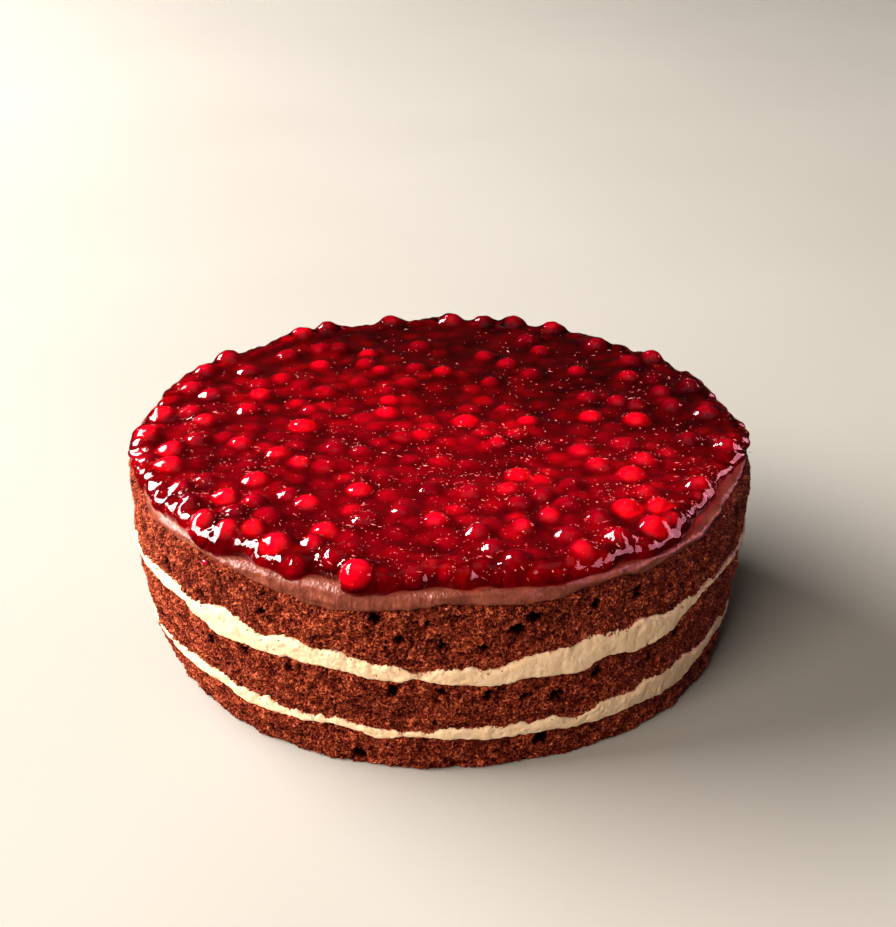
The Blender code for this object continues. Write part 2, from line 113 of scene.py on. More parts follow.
# Berries that stand out: x and y of the centre, and radius
SHOWN_BERRIES = (
    (-24, -101, 4.9), (-27, -90, 3.6), (-49, -84, 4.7), (-57, -75, 3.6), (-35, -76, 4.2),
    (-23, -69, 4.5), (-64, -65, 3.6), (-59, -57, 3.4), (-68, -53, 4.0), (-79, -58, 3.6),
    (-76, -42, 3.6), (-89, -30, 4.6), (-90, -18, 4.6), (-100, -6, 4.2), (-97, 10, 4.2),
    (-42, -57, 3.8), (-26, -48, 4.0), (-60, -40, 3.9), (-3, -48, 3.6), (-1, -69, 3.9),
    (12, -77, 3.6), (17, -88, 3.8), (23, -95, 3.9), (26, -73, 3.0), (40, -79, 4.8), (43, -89, 3.7),
    (50, -68, 3.9), (59, -61, 5.0), (69, -60, 4.2), (66, -73, 4.5), (55, -81, 3.9), (41, -58, 3.9),
    (63, -36, 4.5), (43, -44, 3.7), (26, -37, 4.1), (10, -49, 3.8), (33, -52, 3.3), (84, -45, 3.9),
    (97, -16, 4.2), (85, -10, 3.6), (48, -18, 4.7), (63, -13, 4.6), (69, 7, 4.6), (53, 10, 4.0),
    (9, 6, 4.7), (-19, 13, 4.1), (-48, 2, 4.6), (-68, -13, 4.0), (-36, -16, 4.4), (-68, 15, 3.6),
    (-88, 12, 4.2), (-82, 5, 3.6), (-12, 39, 4.4), (1, 49, 3.9), (-8, 74, 3.9), (25, 57, 3.9),
    (38, 69, 3.5), (60, 75, 4.0), (71, 58, 4.1), (94, 12, 4.0), (91, 35, 3.8), (80, 62, 3.8),
    (-58, 42, 4.1), (-65, 28, 3.8), (-42, 31, 4.2), (-71, 49, 3.9), (-58, 64, 3.9), (-46, 71, 3.5),
    (-80, 61, 3.8), (-87, 49, 3.8), (-90, 33, 3.8), (-54, 86, 3.8), (-45, 92, 3.8), (-19, 99, 4.0),
    (4, 100, 4.4), (17, 99, 3.8), (29, 98, 3.9), (44, 92, 3.8), (-83, -10, 3.6), (73, -70, 3.0),
    (-83, -48, 2.8), (-73, -69, 4.0), (-65, -75, 3.6), (-31, -94, 3.4),
)
FILL_BERRIES = 44
FILL_SEED = 23
FILL_REACH = 97.0 * MM
FILL_SIZES = (3.1 * MM, 4.3 * MM)
FILL_TRIES = 20000
RISE_CENTRE = 1.8 * MM
RISE_RIM = 3.6 * MM
RIM_REACH = 100.0 * MM
BERRY_SPACE = 0.5 * MM


def read_rows(rows, angles, column):
    """Read a table by angle, eased from one row to the next round the cake."""
    starts = np.array([(row[0] - rows[0][0]) % 360.0 for row in rows])
    values = np.array([row[column] for row in rows])
    turned = (angles - rows[0][0]) % 360.0
    index = np.searchsorted(starts, turned, side="right") - 1
    following = (index + 1) % len(rows)
    span = (starts[following] - starts[index]) % 360.0
    share = 0.5 - 0.5 * np.cos(np.pi * (turned - starts[index]) / span)
    return (values[index] + (values[following] - values[index]) * share) * MM


def reader(rows, *columns):
    """Return a function that reads a table at one angle or many, and adds up these columns of it."""
    return lambda angles: sum(read_rows(rows, angles, column) for column in columns)


lower_cream_foot = reader(LOWER_CREAM, 1)
lower_cream_top = reader(LOWER_CREAM, 1, 2)
upper_cream_foot = reader(UPPER_CREAM, 1)
upper_cream_top = reader(UPPER_CREAM, 1, 2)
chocolate_foot = reader(CREAM_FOOT, 1)
cream_inset = reader(CREAM_INSET, 1)
lip_radius = reader(JELLY_LIP, 1)


def swell(angles, middle, width):
    """Return 1 at a middle angle, falling softly to 0 on both sides of it."""
    off_angle = (angles - middle + 180.0) % 360.0 - 180.0
    return np.exp(-(off_angle / width) ** 2)


def side_radius(angles, heights):
    """Return the radius of the stack's outside at an angle and a height."""
    levels, radii = np.array(SIDE_PROFILE).T * MM
    undercut = UNDERCUT * np.maximum(0.0, 1.0 - heights / UNDERCUT_TOP)
    return np.interp(heights, levels, radii) - undercut * swell(angles, UNDERCUT_ANGLE, UNDERCUT_WIDTH)


def chocolate_top(angles):
    """Return the height of the chocolate cream's top along the jelly's edge."""
    drop = sum(depth * MM * swell(angles, middle, width) for middle, width, depth in DRIPS)
    return CREAM_TOP + CREAM_TOP_SWING * np.cos(np.radians(2.0 * angles)) - drop


def berry_rise(x, y):
    """Return how far a berry there stands out of the jelly."""
    share = min(1.0, math.hypot(x, y) / RIM_REACH)
    return RISE_CENTRE + (RISE_RIM - RISE_CENTRE) * share ** 3


def drawn_place(draw, reach):
    """Return the x and y of a random place within reach of the middle."""
    radius = reach * math.sqrt(draw.random())
    turn = draw.uniform(-math.pi, math.pi)
    return radius * math.cos(turn), radius * math.sin(turn)


def berry_places():
    """Return each berry's x, y and radius: the shown ones, then seeded ones in the free places."""
    places = [(x * MM, y * MM, radius * MM) for x, y, radius in SHOWN_BERRIES]
    draw = random.Random(FILL_SEED)
    for _ in range(FILL_TRIES):
        if len(places) == len(SHOWN_BERRIES) + FILL_BERRIES:
            break
        x, y = drawn_place(draw, FILL_REACH)
        radius = draw.uniform(*FILL_SIZES)
        if all(math.hypot(x - a, y - b) > radius + c + BERRY_SPACE for a, b, c in places):
            places.append((x, y, radius))
    return places


# ---- Noise on arrays of points ----
def cell_number(cells, salt):
    """Return a number from 0 to 1 for each row of three whole numbers, the same one every run."""
    x, y, z = (cells[..., axis].astype(np.int64) for axis in range(3))
    mixed = (x * 374761393 + y * 668265263 + z * 1442695041 + salt * 1274126177) & 0xFFFFFFFF
    mixed = ((mixed ^ (mixed >> 13)) * 1274126177) & 0xFFFFFFFF
    mixed = ((mixed ^ (mixed >> 16)) * 1103515245) & 0xFFFFFFFF
    return ((mixed ^ (mixed >> 13)) & 0xFFFFFF) / 0xFFFFFF


def cell_vector(cells, salt):
    """Return three such numbers for each row."""
    return np.stack([cell_number(cells, salt + 101 * axis) for axis in range(3)], axis=-1)


def soft_noise(points, size, salt):
    """Return smooth noise from about -1 to 1, with bumps about size wide."""
    scaled = points / size
    base = np.floor(scaled)
    part = scaled - base
    ease = part ** 3 * (part * (part * 6.0 - 15.0) + 10.0)
    total = np.zeros(len(points))
    for corner in itertools.product((0, 1), repeat=3):
        weight = np.prod(np.where(corner, ease, 1.0 - ease), axis=1)
        slope = cell_vector(base + corner, salt) * 2.0 - 1.0
        total += weight * np.sum(slope * (part - corner), axis=1)
    return total * 1.9


def layered_noise(points, size, salt, octaves):
    """Return soft noise, with noise of half the size and strength on it for each further octave."""
    return sum(0.5 ** octave * soft_noise(points, size / 2.0 ** octave, salt + octave)
               for octave in range(octaves))


def relief(points, *rows, salt=0):
    """Return a sum of noises; a row has the width and height of its bumps in mm, a salt and its octaves."""
    return sum(layered_noise(points, width * MM, salt + own_salt, octaves) * height * MM
               for width, height, own_salt, octaves in rows)


def moved_about(points, size, amount, salt):
    """Return points moved to all sides by noise, by up to about amount."""
    return points + np.stack([soft_noise(points, size, salt + axis) for axis in range(3)], axis=1) * amount


def granules(points, size, salt):
    """Return the distances to the nearest and next of scattered seeds, and the nearest one's number."""
    scaled = points / size
    base = np.floor(scaled)
    first = np.full(len(points), 9.0)
    second = first
    own = np.zeros(len(points))
    for step in itertools.product((-1, 0, 1), repeat=3):
        cell = base + step
        away = np.linalg.norm(cell + cell_vector(cell, salt) - scaled, axis=1)
        nearer = away < first
        second = np.where(nearer, first, np.minimum(second, away))
        own = np.where(nearer, cell_number(cell, salt + 977), own)
        first = np.where(nearer, away, first)
    return first, second, own


def smooth_step(low, high, values):
    """Return 0 up to low and 1 from high on, eased between them; low may be the larger one."""
    share = np.clip((values - low) / (high - low), 0.0, 1.0)
    return share * share * (3.0 - 2.0 * share)


# ---- Meshes ----
LAYER_COLUMNS = 1500
LAYER_RIM = 3.0 * MM  # width of the level rim round a layer's top and underside


def around(radii, angles, heights):
    """Return points from radii, angles and heights, each one number or an array."""
    turn = np.radians(angles)
    return np.stack(np.broadcast_arrays(radii * np.cos(turn), radii * np.sin(turn), heights), axis=-1)


def even_angles(columns):
    """Return evenly spaced angles round the cake, from -180 up."""
    return -180.0 + 360.0 * np.arange(columns) / columns


def side_points(angles, heights):
    """Return the points of the stack's outside, one row a point."""
    return around(side_radius(angles, heights), angles, heights).reshape(-1, 3)


def add_object(name, data):
    added = bpy.data.objects.new(name, data)
    bpy.context.scene.collection.objects.link(added)
    return added


def add_piece(name, corners, faces, material, **attributes):
    """Add a smooth-shaded mesh that rides on the cake; an attribute is a number for each corner."""
    mesh = bpy.data.meshes.new(name)
    mesh.from_pydata(corners.tolist(), [], faces)
    for label, values in attributes.items():
        mesh.attributes.new(label, "FLOAT", "POINT").data.foreach_set("value", values.astype(np.float32))
    mesh.shade_smooth()
    mesh.materials.append(material)
    piece = add_object(name, mesh)
    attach(piece, "root")
    return piece


def band_faces(rings, columns):
    """Return the quads of a closed band of rings, lowest ring first."""
    row = np.arange(rings - 1)[:, None] * columns
    low = row + np.arange(columns)
    beside = row + (np.arange(columns) + 1) % columns
    return np.stack([low, beside, beside + columns, low + columns], axis=-1).reshape(-1, 4).tolist()


def fan_faces(ring, middle, downwards):
    """Return the triangles that close a ring of corners to a middle corner."""
    pairs = zip(ring, ring[1:] + ring[:1])
    return [(second, first, middle) if downwards else (first, second, middle) for first, second in pairs]


def turned_solid(name, radii, heights, material, **attributes):
    """Make a closed solid from grids of radius and height: a row is a ring, a column an angle."""
    rings, columns = radii.shape
    corners = around(radii, even_angles(columns), heights).reshape(-1, 3)
    ends = [(0.0, 0.0, heights[0].mean()), (0.0, 0.0, heights[-1].mean())]
    numbers = list(range(len(corners)))
    faces = band_faces(rings, columns)
    faces += fan_faces(numbers[:columns], len(corners), True)
    faces += fan_faces(numbers[-columns:], len(corners) + 1, False)
    padded = {label: np.append(values, (1.0, 1.0)) for label, values in attributes.items()}
    return add_piece(name, np.concatenate([corners, ends]), faces, material, **padded)


def layer_rows(low, high, rows):
    """Return the angles, heights and points of even rows on a layer's side, between its two edges."""
    heights = low + (high - low) * np.linspace(0.0, 1.0, rows)[:, None]
    angles = np.broadcast_to(even_angles(LAYER_COLUMNS), heights.shape)
    return angles, heights, side_points(angles, heights)


def layer_solid(name, radii, heights, material, **attributes):
    """Make a layer from the rows of its side, with attributes that are 0 on its top and underside."""
    radii = np.concatenate([radii[:1] - LAYER_RIM, radii, radii[-1:] - LAYER_RIM])
    heights = np.concatenate([heights[:1], heights, heights[-1:]])
    filler = np.zeros((1, LAYER_COLUMNS))
    padded = {label: np.concatenate([filler, values, filler]) for label, values in attributes.items()}
    return turned_solid(name, radii, heights, material, **padded)


# ---- Materials ----
class Look:
    """A material in the making: most methods add a node and return the socket of what it works out."""

    def __init__(self, name, **values):
        """Start a material; in the name of a socket of its shader, an underscore stands for a space."""
        self.material = bpy.data.materials.new(name)
        self.material.use_nodes = True
        self.tree = self.material.node_tree
        self.shader = self.tree.nodes["Principled BSDF"]
        self.feed(self.shader, {label.replace("_", " "): value for label, value in values.items()})

    def feed(self, node, inputs):
        """Give a node its inputs, each a socket to link or a value to set, and return its outputs."""
        for key, value in inputs.items():
            if isinstance(value, bpy.types.NodeSocket):
                self.tree.links.new(value, node.inputs[key])
            else:
                node.inputs[key].default_value = value
        return node.outputs

    def add(self, kind):
        return self.tree.nodes.new("ShaderNode" + kind)

    def attribute(self, label):
        """Read a number stored on the mesh."""
        node = self.add("Attribute")
        node.attribute_name = label
        return node.outputs["Fac"]

    def place(self):
        """Read each point's place on the piece, in metres."""
        return self.add("TexCoord").outputs["Object"]

    def vector(self, operation, first, second):
        """Work out one vector from two."""
        node = self.add("VectorMath")
        node.operation = operation
        return self.feed(node, {0: first, 1: second})["Vector"]

    def number(self, operation, first, second=0.0, clamp=False):
        """Work out one number from two."""
        node = self.add("Math")
        node.operation = operation
        node.use_clamp = clamp
        return self.feed(node, {0: first, 1: second})[0]

    def plus(self, first, second, clamp=False):
        return self.number("ADD", first, second, clamp)

    def minus(self, first, second, clamp=False):
        return self.number("SUBTRACT", first, second, clamp)

    def times(self, first, second, clamp=False):
        return self.number("MULTIPLY", first, second, clamp)

    def noise(self, size, detail=3.0, roughness=0.55, squeeze=(1.0, 1.0, 1.0), output="Fac"):
        """Add noise with bumps about size wide, longer where squeeze is under 1."""
        inputs = {"Scale": 1.0 / size, "Detail": detail, "Roughness": roughness}
        inputs["Vector"] = self.vector("MULTIPLY", self.place(), squeeze)
        return self.feed(self.add("TexNoise"), inputs)[output]

    def place_about(self, size, amount):
        """Return each point's place, shifted about by noise with bumps about size wide."""
        shift = self.vector("SUBTRACT", self.noise(size, 2.0, 0.5, output="Color"), (0.5, 0.5, 0.5))
        return self.vector("ADD", self.place(), self.vector("MULTIPLY", shift, (amount, amount, amount)))

    def cells(self, size, feature, place, output="Distance"):
        """Add a cell pattern with cells about size wide, read at a place socket."""
        node = self.add("TexVoronoi")
        node.feature = feature
        return self.feed(node, {"Scale": 1.0 / size, "Vector": place})[output]

    def ramp(self, source, *stops):
        """Turn a number into a colour; each stop is a position and a colour."""
        node = self.add("ValToRGB")
        elements = node.color_ramp.elements
        while len(elements) < len(stops):
            elements.new(0.5)
        for element, (position, colour) in zip(elements, stops):
            element.position = position
            element.color = (*colour, 1.0)
        return self.feed(node, {"Fac": source})["Color"]

    def mix(self, share, first, second, blend="MIX"):
        """Mix two colours."""
        node = self.add("Mix")
        node.data_type = "RGBA"
        node.blend_type = blend
        return self.feed(node, {0: share, 6: first, 7: second})[2]

    def colour(self, source, *stops):
        """Colour the shader by a socket, through a ramp if it has stops."""
        self.feed(self.shader, {"Base Color": self.ramp(source, *stops) if stops else source})

    def bump(self, height, depth):
        """Bump the shader by a height socket; depth is the bump's real height."""
        normal = self.feed(self.add("Bump"), {"Distance": depth, "Height": height})["Normal"]
        self.feed(self.shader, {"Normal": normal})


def sponge_material(name):
    """Red-brown crumb: bright thin walls round nearly black holes, whose darkness is painted shade; it is
    also painted darker where the crumb lies low and lighter on its raised grains, as painted shade and
    painted light.
    """
    look = Look(name, Roughness=0.7, Specular_IOR_Level=0.03)
    height = look.attribute("height")
    place = look.place_about(1.4 * MM, 1.3 * MM)
    holes = look.cells(1.2 * MM, "DISTANCE_TO_EDGE", place)
    walls = look.minus(1.0, look.times(holes, 2.8), clamp=True)
    fine = look.noise(0.55 * MM, 3.0, 0.7)
    off_line = look.number("ABSOLUTE", look.minus(look.noise(1.3 * MM, 1.0), 0.5))
    threads = look.minus(1.0, look.times(off_line, 13.0), clamp=True)
    grains = look.cells(1.5 * MM, "F1", place, "Color")
    # raised grains are painted lighter and low places darker: painted light and painted shade
    level = look.times(height, 0.38)
    for source, weight in ((walls, 0.24), (fine, 0.19), (threads, 0.20), (grains, 0.18)):
        level = look.plus(level, look.times(source, weight))
    # painted shade in the crumb's hollows, deeper the lower a point lies
    painted_hollow_shade = look.plus(look.times(height, 5.0), 0.55, clamp=True)
    crumb = look.ramp(look.times(level, painted_hollow_shade),
                      (0.30, (0.008, 0.0008, 0.0005)), (0.48, (0.088, 0.0080, 0.0034)),
                      (0.64, (0.29, 0.0345, 0.0150)), (0.84, (0.80, 0.190, 0.078)))
    tone = look.ramp(look.attribute("grain"), (0.0, (0.70, 0.64, 0.62)), (1.0, (1.20, 1.24, 1.24)))
    patches = look.noise(8.0 * MM, 3.0, 0.75)
    warm = look.ramp(patches, (0.34, (0.66, 0.62, 0.64)), (0.66, (1.34, 1.38, 1.34)))
    look.colour(look.mix(1.0, look.mix(1.0, crumb, tone, "MULTIPLY"), warm, "MULTIPLY"))
    look.bump(look.plus(walls, look.plus(fine, threads)), 0.32 * MM)
    return look.material


def ivory_material(name):
    """Whipped ivory cream with smeared crumbs along its edges."""
    look = Look(name, Roughness=0.50, Specular_IOR_Level=0.15, Subsurface_Weight=0.2,
                Subsurface_Scale=1.0 * MM, Subsurface_Radius=(1.0, 0.7, 0.4))
    streak = look.noise(5.0 * MM, 3.0)
    base = look.ramp(streak, (0.3, (0.85, 0.575, 0.345)), (0.7, (0.93, 0.67, 0.43)))
    dirt = look.plus(look.attribute("smear"), look.noise(0.8 * MM, 3.0, 0.6))
    amount = look.times(look.minus(dirt, 0.86), 4.0, clamp=True)
    look.colour(look.mix(amount, base, (0.34, 0.11, 0.050, 1.0)))
    look.bump(look.noise(1.0 * MM, 5.0, 0.65), 0.32 * MM)
    return look.material


def chocolate_material(name):
    """Smooth chocolate cream with a satin shine."""
    look = Look(name, Roughness=0.38, Specular_IOR_Level=0.28, Subsurface_Weight=0.10,
                Subsurface_Scale=1.0 * MM, Subsurface_Radius=(1.0, 0.4, 0.25))
    cloud = look.noise(6.0 * MM, 4.0, 0.6)
    look.colour(cloud, (0.3, (0.135, 0.025, 0.012)), (0.7, (0.31, 0.076, 0.043)))
    grain = look.noise(1.1 * MM, 2.0, 0.5)
    ribs = look.noise(0.8 * MM, 1.0, 0.5, squeeze=(1.0, 1.0, 0.2))
    look.bump(look.plus(grain, ribs), 0.34 * MM)
    return look.material


def jelly_material(name):
    """Clear deep red jelly, darker the deeper it is."""
    look = Look(name, Base_Color=(0.95, 0.10, 0.28, 1.0), Roughness=0.0, IOR=1.35, Transmission_Weight=1.0)
    depth = {"Color": (0.89, 0.15, 0.5, 1.0), "Density": 850.0}
    volume = look.feed(look.add("VolumeAbsorption"), depth)["Volume"]
    look.feed(look.tree.nodes["Material Output"], {"Volume": volume})
    look.bump(look.noise(2.6 * MM, 0.6, 0.5), 0.31 * MM)
    return look.material


def drip_material(name):
    """A dark wet drop of jelly."""
    look = Look(name, Roughness=0.08)
    look.colour(look.noise(1.0 * MM), (0.3, (0.20, 0.002, 0.010)), (0.7, (0.42, 0.004, 0.022)))
    return look.material


def fruit_material(name):
    """Red fruit, from dark crimson between the berries to bright red on them: painted shade between and
    below them, painted light on their tops.
    """
    look = Look(name, Roughness=0.5, Specular_IOR_Level=0.0)
    mottle = look.times(look.noise(2.2 * MM, 3.0, 0.6), 0.22)
    level = look.plus(look.attribute("glow"), mottle)
    look.colour(level, (0.12, (0.045, 0.0007, 0.009)), (0.38, (0.138, 0.0026, 0.025)),
                (0.72, (0.385, 0.0078, 0.057)), (1.0, (0.93, 0.034, 0.102)))
    return look.material


def speck_material(name):
    """Painted glints: pale bubbles and bits of pulp in the jelly's skin, whose pale colour stands in for
    glints of light.
    """
    look = Look(name, Roughness=0.3, Specular_IOR_Level=0.2)
    look.colour(look.attribute("tone"), (0.0, (0.70, 0.04, 0.06)), (0.5, (0.92, 0.17, 0.17)),
                (1.0, (1.0, 0.43, 0.38)))
    return look.material


def crumb_material(name):
    """Loose crumbs, from dark to orange-brown."""
    look = Look(name, Roughness=0.6)
    look.colour(look.attribute("tone"), (0.0, (0.20, 0.045, 0.018)), (1.0, (0.60, 0.20, 0.090)))
    return look.material


def floor_material(name):
    look = Look(name, Roughness=0.8, Specular_IOR_Level=0.0)
    tone = look.noise(300.0 * MM, 2.0)
    look.colour(tone, (0.35, (0.40, 0.375, 0.34)), (0.65, (0.42, 0.395, 0.36)))
    return look.material


# ---- Sponges ----
GRAIN_SIZE = 1.15 * MM
GRAIN_DEPTH = 0.7 * MM
CLUMP_SIZE = 3.4 * MM
CLUMP_DEPTH = 0.3 * MM
GAP_SIZE = 1.7 * MM
GAP_DEPTH = 0.6 * MM
HANG = 0.6 * MM  # a sponge's grains hang this far over the cream below it
UNDER_TOP = 0.2 * MM  # and its top runs this far up behind the cream above it
FOOT_TURN = 0.7 * MM  # height over which its lower edge turns in, and how far
FOOT_TURN_IN = 0.5 * MM
BROW_TURN = 1.5 * MM  # the same of its upper edge, behind the cream
BROW_TURN_IN = 1.5 * MM
# Open pores in the crumb that show from the front: angle, height, width and depth
PORES = (
    (-134.5, 49.3, 4.0, 2.2), (-147.9, 44.1, 3.0, 1.8), (-143.4, 46.6, 2.6, 1.6), (-121.1, 52.1, 2.6, 1.6),
    (-96.4, 51.0, 3.6, 2.2), (-89.5, 48.9, 3.2, 2.2), (-82.5, 48.3, 3.0, 2.2), (-97.8, 31.6, 4.0, 2.4),
    (-89.5, 31.0, 3.0, 2.2), (-81.7, 29.9, 3.4, 2.2), (-100.6, 58.0, 3.4, 2.0), (-91.9, 56.3, 2.6, 1.8),
    (-104.7, 3.6, 4.6, 2.4), (-77.2, 53.3, 4.4, 2.6), (-73.9, 56.7, 4.0, 2.4), (-63.4, 57.4, 3.6, 2.2),
    (-62.0, 31.6, 3.8, 2.2), (-71.7, 9.4, 5.0, 2.4), (-75.5, 28.3, 3.0, 2.0), (-69.3, 26.2, 3.4, 2.0),
    (-54.6, 56.8, 4.0, 2.2), (-133.4, 33.6, 3.0, 2.0), (-125.7, 34.6, 4.0, 2.4), (-116.2, 33.4, 3.6, 2.0),
    (-44.0, 34.0, 4.0, 2.2), (-50.0, 29.0, 3.0, 2.0), (-38.0, 52.0, 3.0, 2.0),
)
PORE_SEED = 11
PORE_DEEPER = 1.3  # a pore cuts this many times as deep as its row says
PORE_SLOPE = (0.62, 0.25)  # its side runs between these distances from its middle, in widths
# Pores at the sides and back, drawn between these bounds: angle, height and width
HIDDEN_PORES = 150
HIDDEN_BOUNDS = ((-32.0, 215.0), (3.0, 62.0), (1.8, 3.8))
HIDDEN_DEPTH = 0.55  # their depth, in widths


def all_pores():
    """Return the shown pores and seeded ones for the sides and back."""
    draw = random.Random(PORE_SEED)
    angles, heights, widths = HIDDEN_BOUNDS
    pores = list(PORES)
    for _ in range(HIDDEN_PORES):
        angle = draw.uniform(*angles)
        width = draw.uniform(*widths)
        pores.append((angle, draw.uniform(*heights), width, width * HIDDEN_DEPTH))
    return pores


def pore_dents(points):
    """Return how deep the pores cut at each point of the side."""
    dents = np.zeros(len(points))
    warped = moved_about(points, 1.8 * MM, 1.3 * MM, 400)
    for angle, height, width, depth in all_pores():
        centre = side_points(angle, height * MM)[0]
        near = np.flatnonzero(np.abs(points - centre).max(axis=1) < width * 1.5 * MM)
        away = np.linalg.norm(warped[near] - centre, axis=1) / (width * MM)
        cut = depth * PORE_DEEPER * MM * smooth_step(*PORE_SLOPE, away)
        dents[near] = np.maximum(dents[near], cut)
    return dents


def crumb(points):
    """Return each point's height over the sponge's mean side, and its grain's own number."""
    first, second, own = granules(moved_about(points, 1.7 * MM, 0.5 * MM, 21), GRAIN_SIZE, 3)
    grain = smooth_step(0.0, 0.45, second - first) * (0.55 + 0.45 * own) - first * 0.35
    clumps = CLUMP_DEPTH * layered_noise(points, CLUMP_SIZE, 31, 3)
    gaps = GAP_DEPTH * smooth_step(0.35, 0.8, layered_noise(points, GAP_SIZE, 57, 2))
    return GRAIN_DEPTH * (grain - 0.35) + clumps - gaps - pore_dents(points), own


def make_sponge(node, foot, top, shift, rows, material):
    """Make a sponge with its open crumb; shift moves the solids' relief, so that no two sponges match."""
    angles = even_angles(LAYER_COLUMNS)
    low = foot(angles) - HANG if foot else np.zeros(LAYER_COLUMNS)
    high = top(angles) + UNDER_TOP
    grid, heights, points = layer_rows(low, high, rows)
    rise, grain = crumb(points)
    swells = [noise.noise(Vector(place) / RELIEF_SCALE) for place in points + (0.0, 0.0, shift)]
    outwards = rise + CRUMB_RELIEF * 2.0 * np.array(swells)
    turn_in = FOOT_TURN_IN * np.maximum(1.0 - (heights - low) / FOOT_TURN, 0.0) ** 2
    turn_in += BROW_TURN_IN * np.maximum(1.0 - (high - heights) / BROW_TURN, 0.0) ** 1.5
    radii = side_radius(grid, heights) + outwards.reshape(heights.shape) - turn_in
    # how high each point stands; the crumb's colour paints shade in its low places and light on its raised
    # grains from this
    height = np.clip(0.62 + rise / (1.5 * MM), 0.0, 1.0)
    piece = layer_solid(node + "_crumb", radii, heights, material,
                        height=height.reshape(heights.shape), grain=grain.reshape(heights.shape))
    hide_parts(node)


# ---- Cream fillings ----
FILLING_ROWS = 18
TUCK = 0.8 * MM  # the cream runs this far up behind the sponge above
THINNEST = 0.6 * MM
FILLING_OUT = 0.75 * MM  # its middle stands this far out of the sponges' side
# Its ragged edges and its rolls: width and height of the bumps in mm, salt and octaves
RAGGED_FOOT = (2.6, 0.45, 0, 2)
RAGGED_TOP = (4.8, 0.80, 9, 3)
ROLLS = (4.5, 0.40, 20, 3)
PIT_SIZE = 1.2 * MM
PIT_DEPTH = 0.40 * MM
# Its edges draw in: over about this height, and how far
FOOT_EDGE = (0.35 * MM, 0.9 * MM)
TOP_EDGE = (0.7 * MM, 1.2 * MM)


def make_filling(node, foot, top, salt, material):
    """Make a cream filling with a ragged edge, spread smooth where it is thick."""
    angles = even_angles(LAYER_COLUMNS)
    along_foot = side_points(angles, foot(angles))
    low = foot(angles) + relief(along_foot, RAGGED_FOOT, salt=salt)
    high = np.maximum(top(angles) + relief(along_foot, RAGGED_TOP, salt=salt) + TUCK, low + THINNEST)
    grid, heights, points = layer_rows(low, high, FILLING_ROWS)
    pits = smooth_step(0.30, 0.70, soft_noise(points, PIT_SIZE, salt + 33)) * PIT_DEPTH
    from_foot = heights - low
    from_top = high - heights
    edge = np.exp(-from_foot / FOOT_EDGE[0]) * FOOT_EDGE[1] + np.exp(-from_top / TOP_EDGE[0]) * TOP_EDGE[1]
    rolled = (relief(points, ROLLS, salt=salt) - pits).reshape(heights.shape)
    radii = side_radius(grid, heights) + FILLING_OUT - edge + rolled
    smear = np.exp(-from_top / (1.2 * MM)) * 0.42 + np.exp(-from_foot / (0.8 * MM)) * 0.25
    smear = smear + 0.18 * (1.0 - smooth_step(1.5 * MM, 4.5 * MM, high - low))
    smear += 0.12 * soft_noise(points, 9.0 * MM, salt + 41).reshape(heights.shape)
    piece = layer_solid(node + "_spread", radii, heights, material, smear=smear)
    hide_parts(node)


# ---- Chocolate cream ----
CHOCOLATE_COLUMNS = 1200
ROLL_DEPTH = 2.6 * MM  # how far in from its side the cream's top starts to turn down
ROLL_SHARE = 0.75  # where it is thin, this share of its height at most
FOOT_TUCK = 1.7 * MM  # how far its foot turns in
ROLL_OUT = 0.45 * MM  # the roll stands this far out of the cream's side
ROLL_WAIST = 0.45  # height at which it is widest, as a share of its own
ROLL_ROWS = 24
SHOULDER_ROWS = 6
INNER_ROWS = ((4.0, 0.3), (1.6, 0.1))  # rows inside its foot: how far in and how high, in mm
LEAST_THICKNESS = 0.8 * MM
CONTACT_INSET = 2.2 * MM  # its shoulder ends this far inside the jelly's outline
SHOULDER_DROP = 0.15 * MM  # and falls this much
KNIFE_LENGTH = 16.0 * MM  # marks that a palette knife left along the side: length, height and depth
KNIFE_HEIGHT = 2.4 * MM
KNIFE_DEPTH = 0.55 * MM
KNIFE_LEAN = 1.2 * MM  # how far they rise and fall, over LEAN_LENGTH
LEAN_LENGTH = 30.0 * MM
RIBBED = (-140.0, -84.0)  # radial ribs show between these angles, in the front
RIB_WIDTH = 1.3 * MM
RIB_DEPTHS = (0.06 * MM, 0.29 * MM)  # elsewhere and there
# Its ragged foot, and the waves in its side and top: width and height in mm, salt and octaves
FOOT_WAVES = (7.0, 0.45, 91, 3)
SIDE_WAVES = ((10.0, 0.62, 71, 3), (3.0, 0.20, 75, 1))
TOP_WAVES = (9.0, 0.22, 95, 2)


def knife_marks(angles, heights):
    """Return the relief of long low marks along the side, for grids of angle and height."""
    along = np.radians(angles).reshape(-1) * RIM_REACH
    flat = np.zeros(len(along))
    lean = soft_noise(np.stack([along, flat, flat], axis=1), LEAN_LENGTH, 87) * KNIFE_LEAN
    places = np.stack([along * KNIFE_HEIGHT / KNIFE_LENGTH, heights.reshape(-1) + lean, flat], axis=1)
    return soft_noise(places, KNIFE_HEIGHT, 85) * KNIFE_DEPTH


